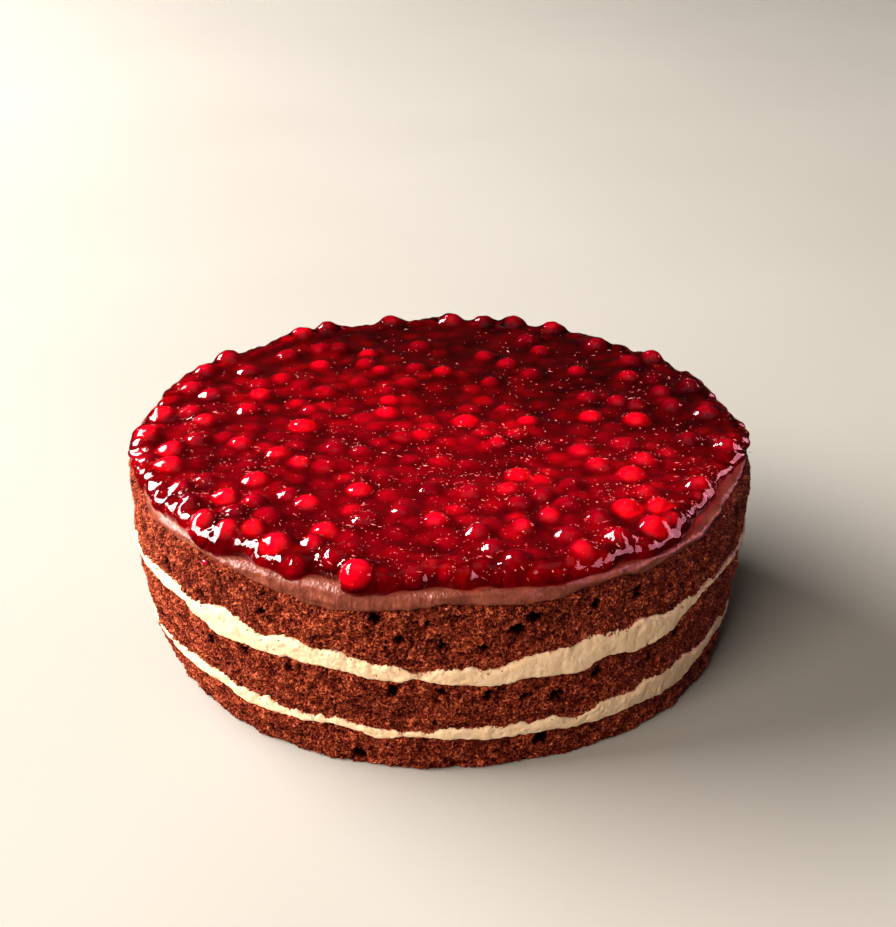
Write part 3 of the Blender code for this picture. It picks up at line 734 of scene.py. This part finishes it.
def chocolate_rows(angles):
    """Return the radii and heights of the cream's rows, from inside its foot up over its roll."""
    side = side_radius(angles, CREAM_TOP) - cream_inset(angles)
    ragged = chocolate_foot(angles) + relief(side_points(angles, CREAM_TOP), FOOT_WAVES)
    top = chocolate_top(angles)
    thickness = np.maximum(top - ragged, LEAST_THICKNESS)
    foot = top - thickness
    roll = np.minimum(ROLL_DEPTH, ROLL_SHARE * thickness)
    contact = lip_radius(angles) - CONTACT_INSET
    rows = [(side - inwards * MM, foot + rise * MM) for inwards, rise in INNER_ROWS]
    for swing in np.radians(np.linspace(-90.0, 90.0, ROLL_ROWS)):
        tuck, rise = (FOOT_TUCK, ROLL_WAIST) if swing < 0.0 else (roll, 1.0 - ROLL_WAIST)
        turned = 1.0 - max(math.cos(swing), 0.0)
        height = foot + thickness * (ROLL_WAIST + rise * math.sin(swing))
        rows.append((side + ROLL_OUT - tuck * turned ** 1.15, height))
    inner = side + ROLL_OUT - roll
    for share in np.linspace(0.15, 1.0, SHOULDER_ROWS):
        rows.append((inner + (contact - inner) * share, top - SHOULDER_DROP * share))
    rows.append((contact - 8.0 * MM, top - SHOULDER_DROP))
    return np.array([row[0] for row in rows]), np.array([row[1] for row in rows])


def make_chocolate_cream(material):
    """Make the chocolate cream: a soft roll over the top sponge's edge, and a shoulder round the jelly."""
    angles = even_angles(CHOCOLATE_COLUMNS)
    radii, heights = chocolate_rows(angles)
    grid = np.broadcast_to(angles, radii.shape)
    points = around(radii, grid, heights).reshape(-1, 3)
    ribbed = smooth_step(RIBBED[0], RIBBED[0] + 8.0, grid) * smooth_step(RIBBED[1], RIBBED[1] - 8.0, grid)
    depth = RIB_DEPTHS[0] + (RIB_DEPTHS[1] - RIB_DEPTHS[0]) * ribbed.reshape(-1)
    ribs = soft_noise(points * (1.0, 1.0, 0.10), RIB_WIDTH, 81) * depth
    outwards = relief(points, *SIDE_WAVES) + ribs + knife_marks(grid, heights)
    radii = radii + outwards.reshape(radii.shape)
    heights = heights + relief(points, TOP_WAVES).reshape(heights.shape)
    piece = turned_solid("chocolate_cream_spread", radii, heights, material)
    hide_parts("chocolate_cream")


# ---- Jelly and berries ----
JELLY_CELLS = 256  # squares across the top of the jelly
LIP_ROUND = 3.6 * MM  # how far inside its outline the jelly starts to turn down
LIP_TUCK = 1.6 * MM  # how far its foot lies inside its outline
BELLY = 1.7 * MM  # its outline is widest this far over its foot
# Its rim's rows: how far each one's skin faces up, in degrees
RIM_TILTS = (78, 66, 54, 42, 30, 18, 6, -8, -24, -42, -62, -90)
JELLY_SINK = 0.5 * MM  # its underside lies this far in the cream, so that no gap shows
FILM = 0.65 * MM  # jelly over a berry that stands out
BLEND = 1.3 * MM  # how softly the jelly runs from one form into the next
FULLER = 0.8 * MM  # at the back the jelly is this much fuller between the berries
FULLER_FROM = 45.0 * MM  # in full from this far behind the middle
REACH = 8.0 * MM  # farthest that a berry lifts the jelly's skin
LIFT_ROUNDS = 50  # steps in which the skin settles on the berries
LUMPY_BAND = 11.0 * MM  # width of the lumpy band inside the jelly's outline
LUMPS_OUT = 0.35 * MM  # the band as a whole stands out by this
# The lumps in it, calm waves everywhere, and bumps in the fruit: width and height in mm, salt and octaves
RIM_LUMPS = ((6.5, 0.75, 211, 1), (3.4, 0.34, 213, 1), (2.5, 0.26, 217, 1))
SKIN_WAVES = ((11.0, 0.22, 201, 2), (2.4, 0.06, 207, 1))
PULP_BUMPS = (6.0, 0.4, 251, 3)
PULP_CELLS = 180  # squares across the crushed fruit under the jelly's skin
PULP_INSET = 0.6 * MM
PULP_ROUND = 3.2 * MM  # how far inside its outline it starts to turn down
PULP_DEPTHS = (1.4 * MM, 2.8 * MM)  # its mean depth under the jelly's level, near and at the back right
PULP_SHOW = 0.35 * MM  # the brightest berries stand this far out of it
PULP_COVER = 0.10 * MM  # it covers the others by this much
SHOWS_FROM = 0.7  # brightness from which a berry stands out of it
PULP_BLEND = 1.0 * MM
PULP_LIFTED = (1.2 * MM, 4.0 * MM)  # berries lift it from here, and in full from here, inside its outline
SUNK_BERRIES = 300
SUNK_SEED = 5
SUNK_TRIES = 40000
SUNK_REACH = 98.0 * MM
SUNK_SIZES = (3.5 * MM, 4.6 * MM)
SUNK_DEPTHS = (-0.2 * MM, 2.2 * MM)
SUNK_CLOSENESS = 0.84  # least distance of two berries, as a share of both radii
SUNK_DEEPER = 1.3 * MM  # at the back right they lie this much deeper
DEEPENS = (-75.0 * MM, 0.0 * MM)  # between these distances from the middle, towards the front left
RIM_TRIES = 4000  # tries to sink a berry along the jelly's edge
RIM_SIZES = (2.5 * MM, 3.9 * MM)
RIM_INSETS = (3.2 * MM, 5.6 * MM)  # how far inside the jelly's outline their centres lie
RIM_DEPTHS = (-0.5 * MM, 1.1 * MM)
RIM_CLOSENESS = 0.88
BERRY_FOOT = CREAM_TOP - 1.0 * MM  # below this, in the cream, a berry is cut flat
BERRY_SEED = 17
BERRY_TILTS = (72.0, 54.0, 36.0, 18.0, 0.0, -22.0, -50.0)  # rings of corners on a berry
SPECKS = 2300
SPECK_SEED = 29
SPECK_SIZES = (0.10 * MM, 0.21 * MM)
SPECK_FLATNESS = 0.7  # half their height, in sizes
DASH_SHARE = 0.26  # share of the specks that are short dashes
DASH = ((2.2, 5.6), 0.7)  # half lengths and half width, in sizes
BUBBLE = ((0.9, 1.5), 1.0)
# Numbers of the shown berries that look dark, and of those that look brightest
DIM_BERRIES = (1, 5, 6, 7, 9, 10, 18, 21, 24, 26, 30, 31, 33, 36, 39, 48)
BRIGHT_BERRIES = (0, 2, 3, 4, 8, 11, 12, 13, 14, 16, 17, 27, 28, 29, 32, 34, 42, 43, 44, 46)
BRIGHT_SEED = 53
# Brightness of the dark ones, the brightest and the others, and the factor that dims the sunk ones
DIM = (0.12, 0.35)
BRIGHT = (0.78, 1.0)
PLAIN = (0.25, 0.75)
SUNK_DIMMED = (0.225, 0.855)


def disc_grid(cells):
    """Return a square grid of places on a disc of radius 1, even in size, as shares and angles."""
    line = np.linspace(-1.0, 1.0, cells + 1)
    across, up = np.meshgrid(line, line)
    wide = np.abs(across) > np.abs(up)
    share = np.where(wide, across, up)
    safe = np.where(share == 0.0, 1.0, share)
    turn = np.where(wide, (np.pi / 4.0) * up / safe, np.pi / 2.0 - (np.pi / 4.0) * across / safe)
    x = share * np.cos(turn)
    y = share * np.sin(turn)
    return np.hypot(x, y).reshape(-1), np.degrees(np.arctan2(y, x)).reshape(-1)


def grid_rim(cells):
    """Return the corner numbers of a square grid's outside, in order round it."""
    size = cells + 1
    bottom = list(range(cells))
    right = [row * size + cells for row in range(cells)]
    top = [cells * size + column for column in range(cells, 0, -1)]
    left = [row * size for row in range(cells, 0, -1)]
    return bottom + right + top + left


def pool_faces(cells, corners):
    """Return the faces of a pool: the square grid, the rim's rings and the fan under it."""
    size = cells + 1
    cell = (np.arange(cells)[:, None] * size + np.arange(cells)).reshape(-1)
    faces = np.stack([cell, cell + 1, cell + size + 1, cell + size], axis=1).tolist()
    upper = grid_rim(cells)
    for first in range(size * size, corners, len(upper)):
        lower = list(range(first, first + len(upper)))
        faces += zip(upper, lower, lower[1:] + lower[:1], upper[1:] + upper[:1])
        upper = lower
    return faces + fan_faces(upper, corners, True)


def front_left_share(x, y):
    """Return 1 towards the front left, falling to 0 at the back and right: there the fruit lies deeper under
    the jelly's skin, and its colour is painted darker as painted shade, and brighter at the front left as
    painted light.
    """
    return smooth_step(*DEEPENS, -0.5 * x - 0.87 * y)


def close_pairs(points, balls, reach):
    """Return the numbers of each point and ball that lie within reach of each other."""
    pairs = []
    for number, (x, y, z, radius) in enumerate(balls):
        near = np.flatnonzero(np.linalg.norm(points - (x, y, z), axis=1) < radius + reach)
        pairs.append(np.stack([near, np.full(len(near), number)]))
    return np.concatenate(pairs, axis=1)


def lift(points, normals, balls, film, blend, level=0.0):
    """Return how far the berries push a skin out at each point, along its normal, from at least a level."""
    corner, ball = close_pairs(points, balls, REACH + 3.0 * MM)
    centre = balls[ball, :3]
    size = balls[ball, 3] + np.broadcast_to(film, len(balls))[ball]
    out = np.full(len(points), REACH)
    for _ in range(LIFT_ROUNDS):
        place = points + normals * out[:, None]
        gap = np.linalg.norm(place[corner] - centre, axis=1) - size
        soft = np.bincount(corner, np.exp(-np.minimum(gap, 30.0 * MM) / blend), minlength=len(points))
        soft += np.exp((level - out) / blend)
        out = np.maximum(out + blend * np.log(soft) * 0.9, level)
    return out


def glow(points, balls, bright):
    """Return how bright the fruit is painted at each point: soft spots of painted light on each berry's
    upper side, fading to painted shade lower down, on a cloudy ground that is painted lighter towards the
    front left.
    """
    reach = np.hypot(balls[:, 0], balls[:, 1])
    # the spots of painted light lean outwards on berries near the rim, most of all at the front
    outwards = smooth_step(0.6 * RIM_REACH, RIM_REACH, reach) * 0.9
    outwards *= 0.35 + 0.65 * smooth_step(40.0 * MM, -40.0 * MM, balls[:, 1])
    axis = np.column_stack([balls[:, :2] / reach[:, None] * outwards[:, None], np.ones(len(balls))])
    axis /= np.linalg.norm(axis, axis=1)[:, None]
    poles = balls[:, :3] + axis * balls[:, 3:] * 0.6
    corner, ball = close_pairs(points, balls, 3.0 * MM)
    away = np.linalg.norm(points[corner] - poles[ball], axis=1) / balls[ball, 3]
    spots = np.zeros(len(points))
    np.maximum.at(spots, corner, bright[ball] * smooth_step(1.35, 0.55, away))
    # painted light towards the front left and painted shade at the back and right, with random cloudiness
    cloud = 0.10 + 0.17 * front_left_share(*points.T[:2]) + 0.17 * layered_noise(points, 11.0 * MM, 261, 3)
    return np.clip(cloud + spots * (1.0 - 0.6 * cloud), 0.0, 1.0)


def jelly_frame():
    """Return the jelly's corners and the way each is pushed, row by row, before the berries lift it."""
    share, angles = disc_grid(JELLY_CELLS)
    points = [around(share * (lip_radius(angles) - LIP_ROUND), angles, JELLY_LEVEL)]
    normals = [around(0.0, angles, 1.0)]
    angles = angles[grid_rim(JELLY_CELLS)]
    lip = lip_radius(angles)
    foot = chocolate_top(angles)
    belly = foot + BELLY
    for tilt in np.radians(RIM_TILTS):
        if tilt > 0.0:
            radius = lip - LIP_ROUND * (1.0 - math.cos(tilt) ** 0.8)
            height = belly + (JELLY_LEVEL - belly) * math.sin(tilt) ** 0.9
        else:
            radius = lip - LIP_TUCK * (1.0 - math.cos(tilt))
            height = belly + (belly - foot + JELLY_SINK) * math.sin(tilt)
        points.append(around(radius, angles, height))
        normals.append(around(math.cos(tilt), angles, math.sin(tilt)))
    return np.concatenate(points), np.concatenate(normals)


def make_jelly(balls, material):
    """Make the jelly: a pool with a rounded lumpy lip, whose skin runs over the berries.

    Return the corners of its skin that face up, and the way that each was pushed.
    """
    points, normals = jelly_frame()
    angles = np.degrees(np.arctan2(points[:, 1], points[:, 0]))
    from_lip = lip_radius(angles) - np.hypot(points[:, 0], points[:, 1])
    fuller = FULLER * smooth_step(0.0, FULLER_FROM, points[:, 1])
    fuller *= smooth_step(LIP_ROUND, 4.0 * LIP_ROUND, from_lip)
    out = lift(points, normals, balls, FILM, BLEND, fuller)
    banded = smooth_step(LUMPY_BAND, 0.3 * LUMPY_BAND, from_lip)
    cream = chocolate_top(angles)
    above = smooth_step(cream, cream + 1.6 * MM, points[:, 2])
    waves = relief(points, *SKIN_WAVES) + (relief(points, *RIM_LUMPS) + LUMPS_OUT) * banded
    skin = points + normals * (out + waves * above)[:, None]
    corners = np.append(skin, [(0.0, 0.0, CREAM_TOP - JELLY_SINK)], axis=0)
    piece = add_piece("jelly_pool", corners, pool_faces(JELLY_CELLS, len(skin)), material)
    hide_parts("berry_jelly")
    shown = len(skin) - 4 * JELLY_CELLS * sum(tilt < 0 for tilt in RIM_TILTS)
    return skin[:shown], normals[:shown]


def berry_balls():
    """Return each berry that stands out as x, y, z and radius."""
    return np.array([(x, y, JELLY_LEVEL + berry_rise(x, y) - FILM - radius, radius)
                     for x, y, radius in berry_places()])


def is_free(place, radius, balls, closeness):
    """Say whether a berry fits there; with a closeness under 1, it may run into others a little."""
    return all(math.dist(place, ball[:3]) > (radius + ball[3]) * closeness for ball in balls)


def sunk_balls(shown):
    """Return further berries that lie deeper in the jelly, along its edge and between the others."""
    draw = random.Random(SUNK_SEED)
    balls = [tuple(ball) for ball in shown]
    for _ in range(RIM_TRIES):
        angle = draw.uniform(-180.0, 180.0)
        radius = draw.uniform(*RIM_SIZES)
        reach = lip_radius(angle) - draw.uniform(*RIM_INSETS)
        place = tuple(around(reach, angle, JELLY_LEVEL - draw.uniform(*RIM_DEPTHS) - radius))
        if is_free(place, radius, balls, RIM_CLOSENESS):
            balls.append((*place, radius))
    wanted = len(balls) + SUNK_BERRIES
    for _ in range(SUNK_TRIES):
        if len(balls) == wanted:
            break
        x, y = drawn_place(draw, SUNK_REACH)
        radius = draw.uniform(*SUNK_SIZES)
        z = JELLY_LEVEL - draw.uniform(*SUNK_DEPTHS) - SUNK_DEEPER * (1.0 - front_left_share(x, y)) - radius
        if is_free((x, y, z), radius, balls, SUNK_CLOSENESS):
            balls.append((x, y, z, radius))
    return np.array(balls[len(shown):])


def berry_brightness(shown, balls):
    """Return each berry's brightness: its own tone, dimmer for the sunk ones, and darker towards the back
    and right as painted shade, most of all for the sunk ones.
    """
    draw = np.random.default_rng(BRIGHT_SEED)
    bright = draw.uniform(*PLAIN, len(balls))
    bright[list(DIM_BERRIES)] = draw.uniform(*DIM, len(DIM_BERRIES))
    bright[list(BRIGHT_BERRIES)] = draw.uniform(*BRIGHT, len(BRIGHT_BERRIES))
    bright[shown:] *= draw.uniform(*SUNK_DIMMED, len(balls) - shown)
    # painted shade: darker towards the back and right
    least = np.where(np.arange(len(balls)) < shown, 0.72, 0.45)
    return bright * (least + (1.0 - least) * front_left_share(*balls.T[:2]) ** 0.5)


def make_pulp(balls, bright, material):
    """Make the crushed fruit under the jelly's skin, which runs softly up round the berries."""
    share, angles = disc_grid(PULP_CELLS)
    edge = lip_radius(angles) - PULP_INSET
    points = around(share * edge, angles, 0.0)
    floor = chocolate_top(angles) - 0.2 * MM
    inwards = np.clip((edge - share * edge) / PULP_ROUND, 0.0, 1.0)
    depth = PULP_DEPTHS[1] + (PULP_DEPTHS[0] - PULP_DEPTHS[1]) * front_left_share(*points.T[:2])
    level = JELLY_LEVEL - depth + relief(points, PULP_BUMPS)
    points[:, 2] = floor + (level - floor) * np.sqrt(1.0 - (1.0 - inwards) ** 2)
    film = np.where(bright > SHOWS_FROM, -PULP_SHOW, PULP_COVER)
    lifted = lift(points, around(0.0, angles, 1.0), balls, film, PULP_BLEND)
    points[:, 2] += lifted * smooth_step(*PULP_LIFTED, edge - share * edge)
    under = points[grid_rim(PULP_CELLS)] - (0.0, 0.0, 0.5 * MM)
    corners = np.concatenate([points, under, [(0.0, 0.0, CREAM_TOP - 0.5 * MM)]])
    faces = pool_faces(PULP_CELLS, len(corners) - 1)
    # the pulp's colour carries the painted glow: painted light over the berries, painted shade between them
    piece = add_piece("fruit_pulp", corners, faces, material, glow=glow(corners, balls, bright))


def ball_mesh(sides, tilts):
    """Return the corners and faces of a ball of radius 1 with a ring at each tilt, highest first."""
    turns = 360.0 * np.arange(sides) / sides
    rings = [around(math.cos(tilt), turns, math.sin(tilt)) for tilt in np.radians(tilts)]
    unit = np.concatenate([[(0.0, 0.0, 1.0)], *rings, [(0.0, 0.0, -1.0)]])
    faces = []
    for side in range(sides):
        beside = (side + 1) % sides
        faces.append((0, 1 + side, 1 + beside))
        for first in range(1, 1 + (len(tilts) - 1) * sides, sides):
            faces.append((first + side, first + sides + side, first + sides + beside, first + beside))
        last = 1 + (len(tilts) - 1) * sides
        faces.append((last + side, len(unit) - 1, last + beside))
    return unit, faces


def add_joined(name, units, faces, material, **attributes):
    """Add many small forms that have the same faces as one piece."""
    size = len(units[0])
    shifts = range(0, size * len(units), size)
    all_faces = [tuple(corner + shift for corner in face) for shift in shifts for face in faces]
    return add_piece(name, np.concatenate(units), all_faces, material, **attributes)


def make_berries(balls, bright, material):
    """Make all the berries as one piece, each a little out of round."""
    unit, faces = ball_mesh(16, BERRY_TILTS)
    draw = np.random.default_rng(BERRY_SEED)
    units = []
    for number, (x, y, z, radius) in enumerate(balls):
        stretch = 1.0 + draw.uniform(-0.05, 0.05, 3)
        lumps = 1.0 + 0.025 * soft_noise(unit + number * 3.7, 0.8, 301)
        places = unit * stretch * lumps[:, None] * radius + (x, y, z)
        places[:, 2] = np.maximum(places[:, 2], BERRY_FOOT)
        units.append(places)
    # painted light on each berry's top, fading to painted shade lower down
    brightness = glow(np.concatenate(units), balls, bright)
    add_joined("berries", units, faces, material, glow=brightness)


def make_specks(skin, normals, material):
    """Make the specks in the jelly's skin, small bubbles and short dashes of pulp, whose pale colour paints
    glints of light.
    """
    draw = np.random.default_rng(SPECK_SEED)
    chance = 0.25 + 0.75 * smooth_step(70.0 * MM, -60.0 * MM, skin[:, 1])
    chance *= 0.25 + smooth_step(-0.5, 0.6, soft_noise(skin, 16.0 * MM, 351))
    chosen = draw.choice(len(skin), SPECKS, replace=False, p=chance / chance.sum())
    octahedron = np.array([(1, 0, 0), (0, 1, 0), (-1, 0, 0), (0, -1, 0), (0, 0, 1), (0, 0, -1)], float)
    faces = [(0, 1, 4), (1, 2, 4), (2, 3, 4), (3, 0, 4), (1, 0, 5), (2, 1, 5), (3, 2, 5), (0, 3, 5)]
    units = []
    for number in chosen:
        up = normals[number]
        turn = draw.uniform(0.0, 2.0 * math.pi)
        along = np.cross(up, (math.cos(turn), math.sin(turn), 0.3))
        along /= np.linalg.norm(along)
        size = draw.uniform(*SPECK_SIZES) * (1.0 + 1.1 * draw.random() ** 8)
        lengths, width = DASH if draw.random() < DASH_SHARE else BUBBLE
        length = draw.uniform(*lengths)
        axes = np.stack([along * length, np.cross(up, along) * width, up * SPECK_FLATNESS]) * size
        units.append(octahedron @ axes + skin[number])
    tones = np.repeat(draw.beta(1.2, 1.6, SPECKS), len(octahedron))
    add_joined("jelly_specks", units, faces, material, tone=tones)


# ---- Loose crumbs, and the bit of jelly that dripped ----
CRUMBS = 240
CRUMB_SEED = 41
CRUMB_SIZES = (0.14 * MM, 0.42 * MM)
# Edges that the crumbs stick to, each with its share of them, and how far down they spread in mm
CRUMB_EDGES = (
    (lower_cream_top, 0.2, 0.8), (upper_cream_top, 0.42, 1.0), (lower_cream_foot, 0.1, 0.3),
    (upper_cream_foot, 0.15, 0.4), (chocolate_foot, 0.13, 0.3),
)
DRIP_ANGLE = -132.7
DRIP_HEIGHT = 62.6 * MM
DRIP_SIZE = (1.5 * MM, 0.8 * MM, 0.9 * MM)
DRIP_OUT = 0.2 * MM  # its middle stands this far out of the sponge's side
CRUMBS_OUT = 0.55 * MM  # and those of the crumbs this far


def make_crumbs(material):
    """Make the loose crumbs that stick to the edges of the fillings and under the chocolate cream."""
    draw = np.random.default_rng(CRUMB_SEED)
    unit, faces = ball_mesh(6, (40.0, -10.0))
    edges, shares, spreads = zip(*CRUMB_EDGES)
    units = []
    for _ in range(CRUMBS):
        kind = draw.choice(len(edges), p=shares)
        angle = draw.uniform(-180.0, 180.0)
        height = edges[kind](angle) - abs(draw.normal()) ** 1.6 * spreads[kind] * MM
        place = around(side_radius(angle, height) + CRUMBS_OUT, angle, height)
        size = CRUMB_SIZES[0] + (CRUMB_SIZES[1] - CRUMB_SIZES[0]) * draw.random() ** 2
        units.append(unit * draw.uniform(0.5, 1.5, (len(unit), 3)) * size + place)
    tones = np.repeat(draw.random(CRUMBS), len(unit))
    add_joined("loose_crumbs", units, faces, material, tone=tones)


def make_drip(material):
    """Make the small bit of jelly that dripped on the top sponge."""
    unit, faces = ball_mesh(16, (70.0, 45.0, 20.0, -5.0, -30.0, -60.0))
    along = around(1.0, DRIP_ANGLE + 90.0, 0.0)
    outwards = around(1.0, DRIP_ANGLE, 0.0)
    axes = np.stack([along, outwards, (0.0, 0.0, 1.0)]) * np.array(DRIP_SIZE)[:, None]
    radius = side_radius(DRIP_ANGLE, DRIP_HEIGHT) + DRIP_OUT
    corners = unit @ axes + around(radius, DRIP_ANGLE, DRIP_HEIGHT)
    add_piece("jelly_drip", corners, faces, material)


# ---- Stage ----
PICTURE_HEIGHT = 927  # pixels, the picture's long side
FOCAL_PIXELS = 1800.0
SENSOR = 36.0  # mm, along the picture's long side
CAMERA_PLACE = (2.8 * MM, -568.0 * MM, 333.4 * MM)
CAMERA_PITCH = 25.81  # degrees below the horizon
FLOOR_REACH = 6.0  # half of its side
FLOOR_DROP = 0.2 * MM  # it lies this far under the cake
LIGHTS_FACE = Vector((0.0, 0.0, 50.0 * MM))  # the point that they all face
# Name, angle, elevation, distance, sizes, power, colour, is it mirrored, and does it light things
LIGHTS = (
    ("window", 165.0, 28.0, 1.7, (2.1, 1.2), 134.0, (1.0, 0.96, 0.92), False, True),
    ("front", 242.0, 36.0, 1.5, (0.9, 0.9), 19.0, (1.0, 0.91, 0.80), False, True),
    ("gleam", 166.0, 39.0, 1.6, (1.8, 0.8), 150.0, (1.0, 0.97, 0.96), True, False),
    ("panel", 1.0, 26.0, 0.95, (1.36, 0.54), 27.0, (1.0, 0.33, 0.45), True, False),
    ("ceiling", 90.0, 86.0, 2.4, (1.8, 1.8), 3.0, (1.0, 0.98, 0.96), True, True),
)


def make_camera():
    camera = add_object("camera", bpy.data.cameras.new("camera"))
    camera.data.sensor_width = SENSOR
    camera.data.lens = FOCAL_PIXELS / PICTURE_HEIGHT * SENSOR
    camera.location = CAMERA_PLACE
    camera.rotation_euler = (math.radians(90.0 - CAMERA_PITCH), 0.0, 0.0)
    bpy.context.scene.camera = camera


def make_light(name, angle, elevation, distance, size, power, colour, is_mirrored, lights_things):
    """Add a soft area light that faces the cake."""
    lamp = bpy.data.lights.new(name, "AREA")
    lamp.shape = "RECTANGLE"
    lamp.size, lamp.size_y = size
    lamp.energy = power
    lamp.color = colour
    tilt = math.radians(elevation)
    way = Vector(around(math.cos(tilt), angle, math.sin(tilt)))
    light = add_object(name, lamp)
    light.location = way * distance + LIGHTS_FACE
    light.rotation_euler = way.to_track_quat("Z", "Y").to_euler()
    light.visible_glossy = is_mirrored
    light.visible_diffuse = lights_things
    light.visible_transmission = lights_things


def make_floor():
    """Add the floor, which the jelly doesn't mirror."""
    mesh = bpy.data.meshes.new("floor")
    sides = ((-1.0, -1.0), (1.0, -1.0), (1.0, 1.0), (-1.0, 1.0))
    corners = [(x * FLOOR_REACH, y * FLOOR_REACH, -FLOOR_DROP) for x, y in sides]
    mesh.from_pydata(corners, [], [(0, 1, 2, 3)])
    mesh.materials.append(floor_material("pale_floor"))
    floor = add_object("floor", mesh)
    floor.visible_glossy = False
    floor.visible_transmission = False


def make_room():
    """Add the dim room and its lights."""
    world = bpy.data.worlds.new("room")
    world.use_nodes = True
    sky = world.node_tree.nodes["Background"]
    sky.inputs["Color"].default_value = (1.0, 0.97, 0.94, 1.0)
    sky.inputs["Strength"].default_value = 0.018
    bpy.context.scene.world = world
    for row in LIGHTS:
        make_light(*row)
    bpy.context.scene.view_settings.view_transform = "Standard"


def main():
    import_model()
    make_camera()
    make_floor()
    make_room()
    make_sponge("sponge_bottom", None, lower_cream_foot, SPONGE_SHIFTS[0], 34,
                sponge_material("bottom_crumb"))
    make_filling("cream_lower", lower_cream_foot, lower_cream_top, 500, ivory_material("lower_ivory"))
    make_sponge("sponge_middle", lower_cream_top, upper_cream_foot, SPONGE_SHIFTS[1], 46,
                sponge_material("middle_crumb"))
    make_filling("cream_upper", upper_cream_foot, upper_cream_top, 600, ivory_material("upper_ivory"))
    make_sponge("sponge_top", upper_cream_top, chocolate_foot, SPONGE_SHIFTS[2], 46,
                sponge_material("top_crumb"))
    make_chocolate_cream(chocolate_material("chocolate"))
    shown = berry_balls()
    balls = np.concatenate([shown, sunk_balls(shown)])
    bright = berry_brightness(len(shown), balls)
    skin, normals = make_jelly(balls, jelly_material("red_jelly"))
    make_drip(drip_material("red_drip"))
    fruit = fruit_material("red_fruit")
    make_pulp(balls, bright, fruit)
    make_berries(balls, bright, fruit)
    make_specks(skin, normals, speck_material("glints"))
    make_crumbs(crumb_material("loose_crumb"))
    bpy.context.view_layer.update()


main()
